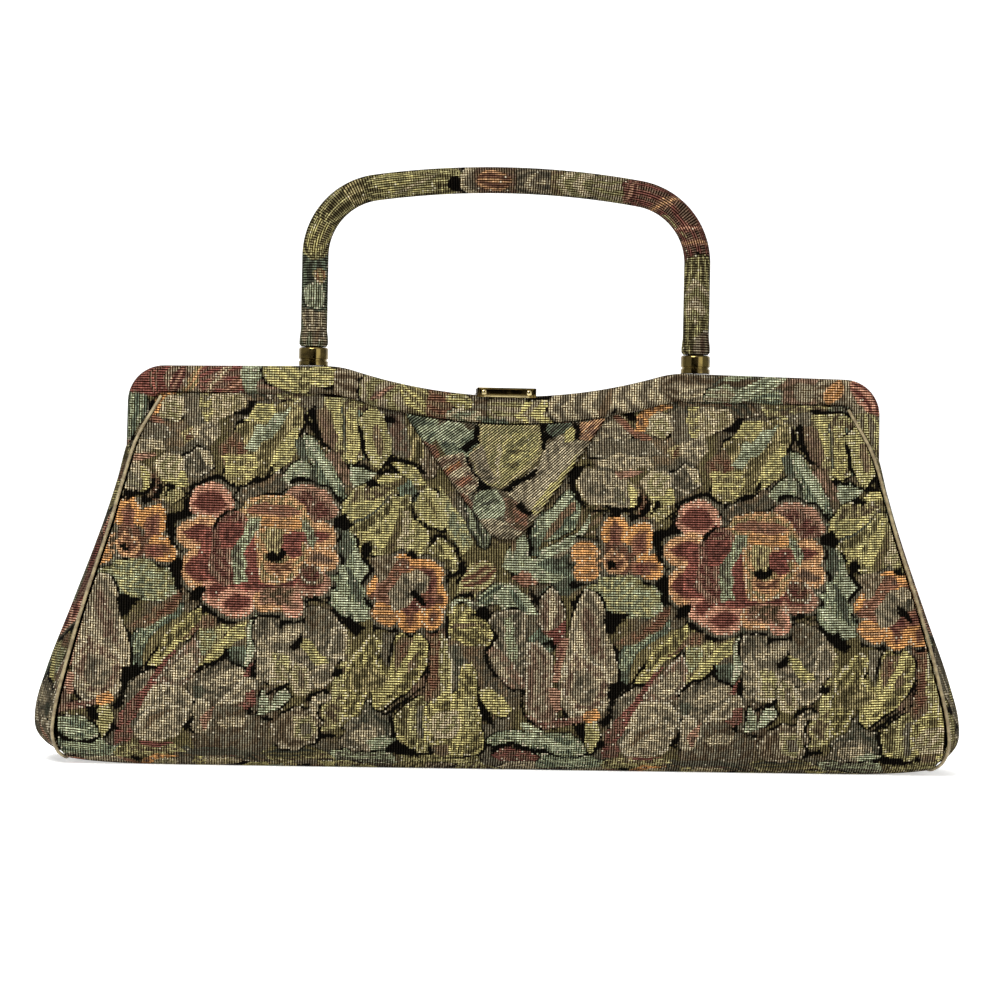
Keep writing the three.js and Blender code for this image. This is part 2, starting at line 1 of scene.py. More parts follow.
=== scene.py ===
"""Looks of the frame handbag: brocade pieces woven cell by cell, piping, brass fittings and the stage.

Sizes are in millimetres and turn into metres when a mesh is made. Front is towards -Y, +Z is up.
"""
import math
from collections import namedtuple

import bmesh
import bpy
import numpy as np
from mathutils import Matrix

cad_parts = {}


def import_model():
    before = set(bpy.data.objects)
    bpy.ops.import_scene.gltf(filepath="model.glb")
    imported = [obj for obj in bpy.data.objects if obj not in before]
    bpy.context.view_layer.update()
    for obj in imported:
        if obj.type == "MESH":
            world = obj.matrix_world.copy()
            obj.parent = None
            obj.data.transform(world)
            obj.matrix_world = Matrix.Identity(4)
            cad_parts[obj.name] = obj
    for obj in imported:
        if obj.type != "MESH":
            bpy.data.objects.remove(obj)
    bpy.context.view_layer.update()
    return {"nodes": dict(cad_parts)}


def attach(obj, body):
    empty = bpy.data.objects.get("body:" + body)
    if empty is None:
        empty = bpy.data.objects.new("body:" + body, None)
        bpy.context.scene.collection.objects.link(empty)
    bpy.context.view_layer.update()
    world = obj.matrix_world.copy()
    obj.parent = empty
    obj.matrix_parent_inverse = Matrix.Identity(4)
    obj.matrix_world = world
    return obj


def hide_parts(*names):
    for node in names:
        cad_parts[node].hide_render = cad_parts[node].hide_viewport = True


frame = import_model()

MM = 0.001
SMOOTH_ANGLE = math.radians(40.0)  # faces that meet at less than this are shaded as one

# Clearance and cloth
GAP = 0.3  # room between pieces that don't touch
WALL = 1.5
GUSSET_WALL = 0.8
FLAP_WALL = 1.8
INNER_EVERY = 4  # cells of a cloth's outer face to one of its inner face
PIPING_RADIUS = 0.65
PIPING_SIDES = 14
PIPING_SAMPLES = 190
SEAM_INSET = 1.6  # from the middle of the piping to the edge of the cloth
SEAM_PROUD = 0.3  # how far the cloth stands over the middle of the piping
ROW_ROOM = 0.3  # share of a cell kept free between a column's end and its first row
SAME_HEIGHT = 1e-6
TINY = 1e-9
PANEL_TUCK = 0.02  # the panel's top edge touches the frame, so that no light shows between them
EDGE_ROOM = 0.05  # kept free between the last column of cells and the widest place
TURNED_ROUND = np.array([-1, -1, 1])  # half a turn about the upright axis

# The seam between panel and gusset, from the frame down to the base middle: its height, half width and depth,
# and next to it how far the panel bellies out and sags, and how far the gusset bulges
SEAM_COLUMNS = ("z", "half", "deep", "belly", "sag", "bulge")
SEAM = np.array([
    (141.5, 133.8, 10.8, -4.8, 0.0, 3.6),
    (124.5, 142.9, 14.6, -1.5, 0.0, 3.2),
    (109.0, 147.5, 18.0, 1.0, 0.0, 2.6),
    (93.0, 151.8, 21.3, 3.0, 0.0, 3.2),
    (62.0, 161.2, 27.3, 4.0, 0.0, 5.0),
    (36.0, 168.0, 31.8, 3.6, 0.0, 7.8),
    (20.0, 171.4, 33.2, 3.0, 0.0, 8.6),
    (11.0, 172.0, 32.2, 2.6, 0.3, 7.4),
    (5.2, 170.2, 28.4, 1.6, 1.2, 4.6),
    (2.4, 167.6, 22.5, 0.4, 2.1, 1.6),
    (2.0, 166.6, 12.0, 0.0, 1.7, 0.0),
    (2.0, 166.6, 0.0, 0.0, 1.7, 0.0),
])
SEAM_TOP_Z = SEAM[0, 0]
CORNER_ROW = 7
BASE_ROW = 9
BELLY_POWER = 4
SAG_POWER = 12
LIFT_END_Z = 62.0  # down to here the cloth follows the dip of the frame

# Main cloth
PANEL_SAMPLES = 1500
PANEL_COLUMN_SAMPLES = 700
PANEL_GUIDE_INSET = 0.01  # heights of cloth beside the base are read this far inside its corner
BASE_JOIN = 0.15  # half of the slit where the front and back cloth meet under the base
CORNER_CLOTH_HEIGHT = 34.0  # length of cloth below the bend at the foot of the front
CORNER_CHART_Z = 3.0  # the chart's height at that bend
BACK_SHIFT = 64.0  # how far the chart is moved along on the back

# Gussets
GUSSET_SAMPLES = 900
GUSSET_COLUMN_SAMPLES = 400
GUSSET_SLOPE_STEP = 0.5
GUSSET_POWER_LOW = 2.4  # how square the bulge is at the foot, and at the top
GUSSET_POWER_HIGH = 4.0
GUSSET_TOP_Z = 136.0
GUSSET_NOTCH_Z = 122.0  # between the frame's arms the cloth ends here
NOTCH_STEP = 0.1  # columns stand this near to both sides of the notch's edge
NOTCH_ROOM = 0.2
GUSSET_SHIFT = {-1: -91.0, 1: 100.0}  # where the chart is cut on the left and right side

# Cloth tucked under the frame's inner corners
TUCK_X = (127.7, 138.8)
TUCK_Z = (130.0, 144.0)
TUCK_Y = 8.2
TUCK_WALL = 0.8

# Frame
FRAME_BAND = 10.8
FRAME_THICK = 9.0
FRAME_ROUND = 2.0
FRAME_ROUND_STEPS = 12
FRAME_SPLIT = 0.2  # half of the slit between the frame's halves
SHOULDER_Z = 154.4
SHOULDER_FALL = 1.0
DIP_DEPTH = 10.3
DIP_RADIUS = 206.0
BLEND_RADIUS = 36.0
CORNER_RADIUS = 14.0
ARM_TOP_X = 146.7
ARM_END_X = 147.0
ARM_END_Z = 108.0
FRAME_STEPS = {"dip": 90, "blend": 24, "shoulder": 90, "corner": 50, "arm": 50}
DIP_ANGLE = math.acos(1 - DIP_DEPTH / (DIP_RADIUS + BLEND_RADIUS))
DIP_CENTRE_Z = SHOULDER_Z - DIP_DEPTH + DIP_RADIUS
BLEND_X = (DIP_RADIUS + BLEND_RADIUS) * math.sin(DIP_ANGLE)
BLEND_CENTRE_Z = SHOULDER_Z - BLEND_RADIUS
CORNER_X = ARM_TOP_X - CORNER_RADIUS
CORNER_Z = SHOULDER_Z - SHOULDER_FALL - CORNER_RADIUS
FRAME_FACE_Y = FRAME_SPLIT + FRAME_THICK
FRAME_FACE_MIDDLE = FRAME_ROUND * math.pi / 2 + (FRAME_BAND - 2 * FRAME_ROUND) / 2

# Tab
FLAP_HALF = 40.0
FLAP_TIP_Z = 88.0
FLAP_TIP_RADIUS = 9.0
FLAP_TIP_STEP = 0.3
FLAP_TOP_DROP = 1.4
FLAP_EDGE_ROUND = 1.2
FLAP_CELL = 0.45
FLAP_LENGTH_SAMPLES = 4000
FLAP_SAMPLES = 900
FLAP_COLUMN_SAMPLES = 300
FLAP_SLOPE_STEP = 0.3
BIAS = np.array([[1, -1], [1, 1]]) / math.sqrt(2)  # the tab's threads lie on the slant

# Handle and ferrules
HANDLE_X = 75.1
HANDLE_Y = FRAME_SPLIT + FRAME_THICK / 2
HANDLE_RADIUS = 5.15
HANDLE_END_RADIUS = 5.6
HANDLE_END_LENGTH = 7.0
HANDLE_END_ROUND = 0.7
HANDLE_TAPER_START = 0.25  # share of the end's length where it starts to narrow
HANDLE_CORNER_Z = 198.0
HANDLE_CORNER_RADIUS = 27.5
HANDLE_APEX_Z = 229.2
HANDLE_STEPS = {"foot": 8, "end": 12, "leg": 30, "corner": 50, "crown": 60}
FERRULE_RADIUS = 5.75
FERRULE_COLLAR = 2.0
FERRULE_GROOVE = 0.6
FERRULE_GROOVE_DEPTH = 0.5
FERRULE_GROOVE_LEAN = 0.02
FERRULE_BARREL = 4.7
FERRULE_EASE = 0.25
FERRULE_RIM = ((0.0, 0.8), (0.12, 0.45), (0.4, 0.15), (0.8, 0.0))  # rounding: inwards, and below the top
FERRULE_BORE = 1.9
FERRULE_HOLLOW = 0.05
LATHE_SIDES = 64
FERRULE_Z = SHOULDER_Z + GAP
FERRULE_TOP_Z = FERRULE_Z + FERRULE_COLLAR + FERRULE_GROOVE + FERRULE_BARREL

# Clasp lever: a top plate, a lip with a sunk field, square knobs and a bar between them
CLASP_HALF = 11.5
LEVER_PLATE_HALF = 9.3
LEVER_TOP_Z = 147.3
LEVER_THICK = 1.0
LEVER_EASE = 0.2
LEVER_OVERLAP = 0.1
EASE_SEGMENTS = 3
ROD_SIDES = 32
PIVOT_Y = 4.0
PIVOT_Z = 146.45
KNUCKLE_RADIUS = 0.85
PIVOT_PIN_RADIUS = 0.5
PIVOT_PIN_HALF = 11.0
LIP_BOTTOM_Z = 143.6
LIP_BACK_Y = -9.6
LIP_FRONT_Y = -10.6
LIP_FIELD_DEEP = 0.7
LIP_RAIL = 0.6
LIP_END = 1.0
KNOB_X = 8.8
KNOB_HALF = 1.2
KNOB_Z = (144.2, 146.6)
KNOB_PROUD = 0.5
KNOB_EASE = 0.85
BAR_RADIUS = 0.4

# Brightness of each piece's cloth where it differs from the main cloth: painted light and shade that makes
# the frame brighter and the handle, gussets, tucks and tab darker, as light falls on them; and the share of
# level picks, where it differs from the main cloth
FRAME_PAINTED_LIGHT = 1.06
HANDLE_PAINTED_SHADE = 0.74
GUSSET_PAINTED_SHADE = {-1: 0.7, 1: 0.85}
TUCK_PAINTED_SHADE = 0.5
FLAP_PAINTED_SHADE = 0.9
# painted shade along the tab's turned edges
FLAP_EDGE_PAINTED_SHADE = 0.3
FRAME_PICKS = 0.9
FLAP_PICKS = 0.1  # on the bias, the slanting ribs show most

# Seeds of the pieces' weave; gussets and halves of the frame take one below or above theirs, by their side
PANEL_SEED = 1
GUSSET_SEED = 3
FRAME_SEED = 5
HANDLE_SEED = 9
FLAP_SEED = 11
TUCK_SEED = 17

# Camera, as the photo was taken: from slightly left of the middle, level with the bag, rolled a little
CAMERA_DISTANCE = 1500.0
CAMERA_HEIGHT = 103.7
CAMERA_YAW = math.radians(3.5)
CAMERA_ROLL = math.radians(-1.1)
CAMERA_FIELD = 391.3
CAMERA_AIM_X = -1.2
CAMERA_NEAR = 0.05
SENSOR_WIDTH = 36.0

# Stage and light, in metres and watts
STAGE_HALF = 6.0
STAGE_SWEEP_Y = 2.6
STAGE_SWEEP = 0.8
STAGE_SWEEP_STEPS = 16
STAGE_HEIGHT = 4.0
STAGE_COLOUR = (0.9, 0.9, 0.89)
STAGE_ROUGHNESS = 0.9
STAGE_SPECULAR = 0.1
STAGE_GLOW = 0.55
WHITE = (1.0, 1.0, 1.0)
CARD_X = (-1.5, 0.7)
CARD_Y = -2.0
CARD_HEIGHT = 1.2
CARD_COLOUR = (0.012, 0.01, 0.008)
WORLD_GLOW = 0.36
LIGHT_AIM = (0, 0, 0.1)
LIGHTS = (  # name, place, width, power
    ("key", (-0.42, -0.92, 1.17), 0.6, 25.0),
    ("fill", (1.2, -1.8, 0.8), 1.6, 12.0),
    ("top", (0.1, 0.2, 2.2), 1.8, 22.0),
)

# Look of the threads, with painted light and shade: their crests shine paler with a painted sheen, and the
# troughs between them get a warm painted shade, darkened by the relief
THREAD_PROFILE = (0.06, 0.42)  # from a thread's edge to its crest, in cells
KIND_RANGE = (0.35, 0.65)  # share of picks where ribs give way to picks
UPPER_SHARE = 0.84  # how much of the relief is the thread that lies on top
# the relief darkens the troughs: painted shade, partly the dark of the gaps between threads
RELIEF_POWER = 2.5
RELIEF_GAIN = 1.27
RELIEF_FLOOR = 0.012
CREST_HUE = (0.98, 1.0, 0.84)
CREST_SHEEN = 0.3
# warm painted shade in the troughs
TROUGH_SHADE_HUE = (1.35, 0.85, 0.25)
GLINT_COLOUR = (0.5, 0.45, 0.33)
CLOTH_ROUGHNESS = 0.9
GLINT_ROUGHNESS = 0.45
CLOTH_SPECULAR = 0.01
CLOTH_BUMP = (0.5, 0.0003)  # strength, and height in metres

# Look of the piping and the metals: scale and detail of their noise, the range in which it goes from the
# first colour and roughness to the second, and strength and height of the bump
PIPING_NOISE = (420.0, 4.0)
PIPING_WEAR = (0.35, 0.7)
PIPING_COLOURS = ((0.13, 0.095, 0.045), (0.26, 0.21, 0.11))
PIPING_ROUGHNESS = (0.5, 0.36)
PIPING_BUMP = (0.25, 0.0002)
METAL_NOISE = (260.0, 5.0)
METAL_WEAR = (0.42, 0.68)
METAL_ROUGHNESS = (0.1, 0.28)
METAL_BUMP = (0.06, 0.0001)
SCRATCH_NOISE = (300.0, 2.0)
SCRATCH_STRETCH = (1.0, 1.0, 6.0)
METALS = {  # polished and dull colours
    "brass": ((0.21, 0.155, 0.05), (0.07, 0.05, 0.018)),
    # darker brass for the lever's body: partly aged, partly painted shade
    "aged_brass_painted_shade": ((0.10, 0.07, 0.022), (0.035, 0.024, 0.009)),
    # brighter brass for the knobs and the bar: a painted highlight
    "brass_painted_highlight": ((0.46, 0.38, 0.19), (0.27, 0.21, 0.10)),
    "steel": ((0.55, 0.55, 0.56), (0.38, 0.38, 0.38)),
}

# Brocade: a floral repeat, charted in the plane of the front
CELL = 0.96  # one rib or one pick
REPEAT_X = 190.7
REPEAT_FALL = 3.2  # how much lower the next repeat to the right lies
REPEAT_Z = 147.0

# Thread colours (sRGB, 0 to 255) and the share of level picks in their weave; the rest shows upright ribs.
THREADS = {
    "black": (15, 13, 10, 0.1),
    "ground": (92, 82, 62, 0.0),
    "olive": (147, 144, 93, 0.6),
    "bright": (158, 152, 87, 0.75),
    "gold": (139, 130, 86, 0.35),
    "dusk": (93, 86, 52, 0.1),
    "sage": (125, 136, 110, 0.6),
    "mist": (144, 155, 130, 0.7),
    "teal": (87, 101, 85, 0.15),
    "slate": (70, 74, 63, 0.1),
    "taupe": (122, 113, 93, 0.15),
    "pale": (154, 145, 119, 0.5),
    "umber": (97, 82, 61, 0.0),
    "rose": (124, 69, 60, 1.0),
    "pink": (166, 117, 96, 0.7),
    "peach": (174, 131, 86, 0.6),
    "salmon": (140, 103, 84, 0.9),
    "orange": (180, 125, 54, 0.75),
    "rust": (120, 80, 60, 1.0),
    "wine": (104, 60, 54, 0.9),
    "mauve": (117, 93, 77, 0.1),
    "violet": (92, 88, 74, 0.0),
}

# Outlines of drawn motifs: how the half width grows from the base (first power) and closes at the tip.
FORMS = {
    "leaf": (0.6, 0.85),
    "blade": (0.5, 1.0),
    "oval": (0.5, 0.5),
}

# Edges: width of the grey band and of the black line around a motif, and the share of metal thread inside it.
EDGES = {
    "none": (0.0, 0.0, 0.0),
    "thin": (0.0, 0.45, 0.18),
    "bold": (0.0, 0.85, 0.2),
    "halo": (1.2, 0.8, 0.3),
    "beads": (0.0, 0.5, 0.5),
    "dots": (0.0, 0.0, 0.6),
}

# Painting of the chart: lengths in millimetres, strengths as shares of the step from dark to light
PATCH_MARGIN = 4.0
PATCH_CONTOUR = 5.5  # space between the light lines that follow a patch's outline
PATCH_CONTOUR_STRENGTH = 0.3
PATCH_BARB = 4.6  # space between the slanting veins in a patch
PATCH_BARB_STRENGTH = 0.28
PATCH_LEAN = 0.9  # how far they lean from its middle line
PATCH_RIB = 0.5  # half width of the middle line
PATCH_RIB_STRENGTH = 0.3
PATCH_LIGHT = 0.05  # how far a patch leans to its light thread
LOBE_DEPTH = 0.12
SLOPE_STEP = 0.01
SLOPE_LIMIT = 3
THINNEST = 0.1  # least half width by which a place across is divided
SIDE_STRENGTH = 1.6
RIM = 3.2  # width of a petal's light rim
RIM_STRENGTH = 1.5
VEIN_SPACE = 6.0  # half width to which a motif has one more vein
VEIN_START = 0.5
VEIN_STRENGTH = 0.7
FEATHER_SPACE = 8.0  # between the barbs of a feathered motif
FEATHER_LEAN = 0.7
FEATHER_STRENGTH = 0.8
STREAK = 1.3  # how strongly streaks along a motif break up its tones
STREAK_CELL = (9.0, 1.0)  # length and width of a streak
STREAK_SHARE = 0.6
SPOT_CELL = (12.0, 4.0)  # the same for the broader spots between them
SPOT_SHARE = 0.4
SPOT_SEED = 3
GROUP_SEEDS = 7  # step of the seeds from one group of motifs to the next
TONE_STEP = 0.2  # half of the middle tone's range
LIGHTER = 1.1  # brightness of a light thread, and of a dark one
DARKER = 0.84
DITHER = 0.45  # how strongly single cells break up a border between tones
WOBBLES = (((21, 16), 0.9), ((53, 41), 0.7))  # cells of noise in a repeat, and how far it bends lines
WOBBLE_SEEDS = (20, 30)
BREAK_CELLS = (38, 29)  # where the black lines around motifs grow and break
BREAK_SEED = 2
BREAK_RANGE = (2.6, -0.3, 2)  # slope, start and limit of their width
SHADOW_CELLS = (24, 9)  # where the ground's thread changes
SHADOW_SEED = 40
SHADOW_GRAIN = 0.3
SHADOW_HIGH = 0.62
SHADOW_LOW = 0.36
PICK_SPREAD = 0.3  # how much the share of picks differs from cell to cell
GAP_FRAY = 0.9  # how far single cells break a gap's border
CELL_SPREAD = (0.72, 0.56)  # lowest brightness of a cell and its range, and the same for a rib
RIB_SPREAD = (0.88, 0.24)
GLINT_BAND = 1.0  # metal thread lies this near to a motif's edge
GLINT_FIELD = 0.012  # share of metal thread away from edges
GLINT_BRIGHT = 210  # only threads brighter than this, red, green and blue together, have it
CELL_SEEDS = {"speck": 5, "bright": 11, "rib": 12, "glint": 13, "picks": 17}
HASH_STEPS = (12.9898, 78.233, 37.719)
HASH_SCALE = 43758.5453

# A row of a chart is a patch: its light and dark thread, the direction of its streaks in degrees, its edge, a
# bar and the points of its outline. Or it is a motif drawn from its base to its tip, with the values below.
PATCH_COLUMNS = ("light", "dark", "grain", "edge")
DRAWN_COLUMNS = ("form", "x0", "z0", "x1", "z1", "half", "bend", "lobes", "light", "dark", "shade", "edge")
WORD_COLUMNS = ("form", "light", "dark", "shade", "edge")


def chart_rows(text):
    """The rows of a chart. A line that starts with spaces goes on with the row before it."""
    return text.strip().replace("\n  ", " ").split("\n")


def read_outline(text):
    """An outline from a row of points."""
    return np.array([[float(value) for value in point.split()] for point in text.split(",")])


def read_outlines(text):
    """One outline from each row of a chart."""
    return [read_outline(row) for row in chart_rows(text)]


def read_motif(row):
    """One motif of a chart, by the names of its columns."""
    head, _, outline = row.partition("|")
    pairs = zip(PATCH_COLUMNS if outline else DRAWN_COLUMNS, head.split())
    motif = {name: value if name in WORD_COLUMNS else float(value) for name, value in pairs}
    if outline:
        motif["outline"] = read_outline(outline)
    return motif


def read_chart(text):
    """Groups of motifs, laid one group over the other. A row that ends with a colon names a new group."""
    groups = []
    for row in chart_rows(text):
        if row.endswith(":"):
            groups.append([])
        else:
            groups[-1].append(read_motif(row))
    return groups


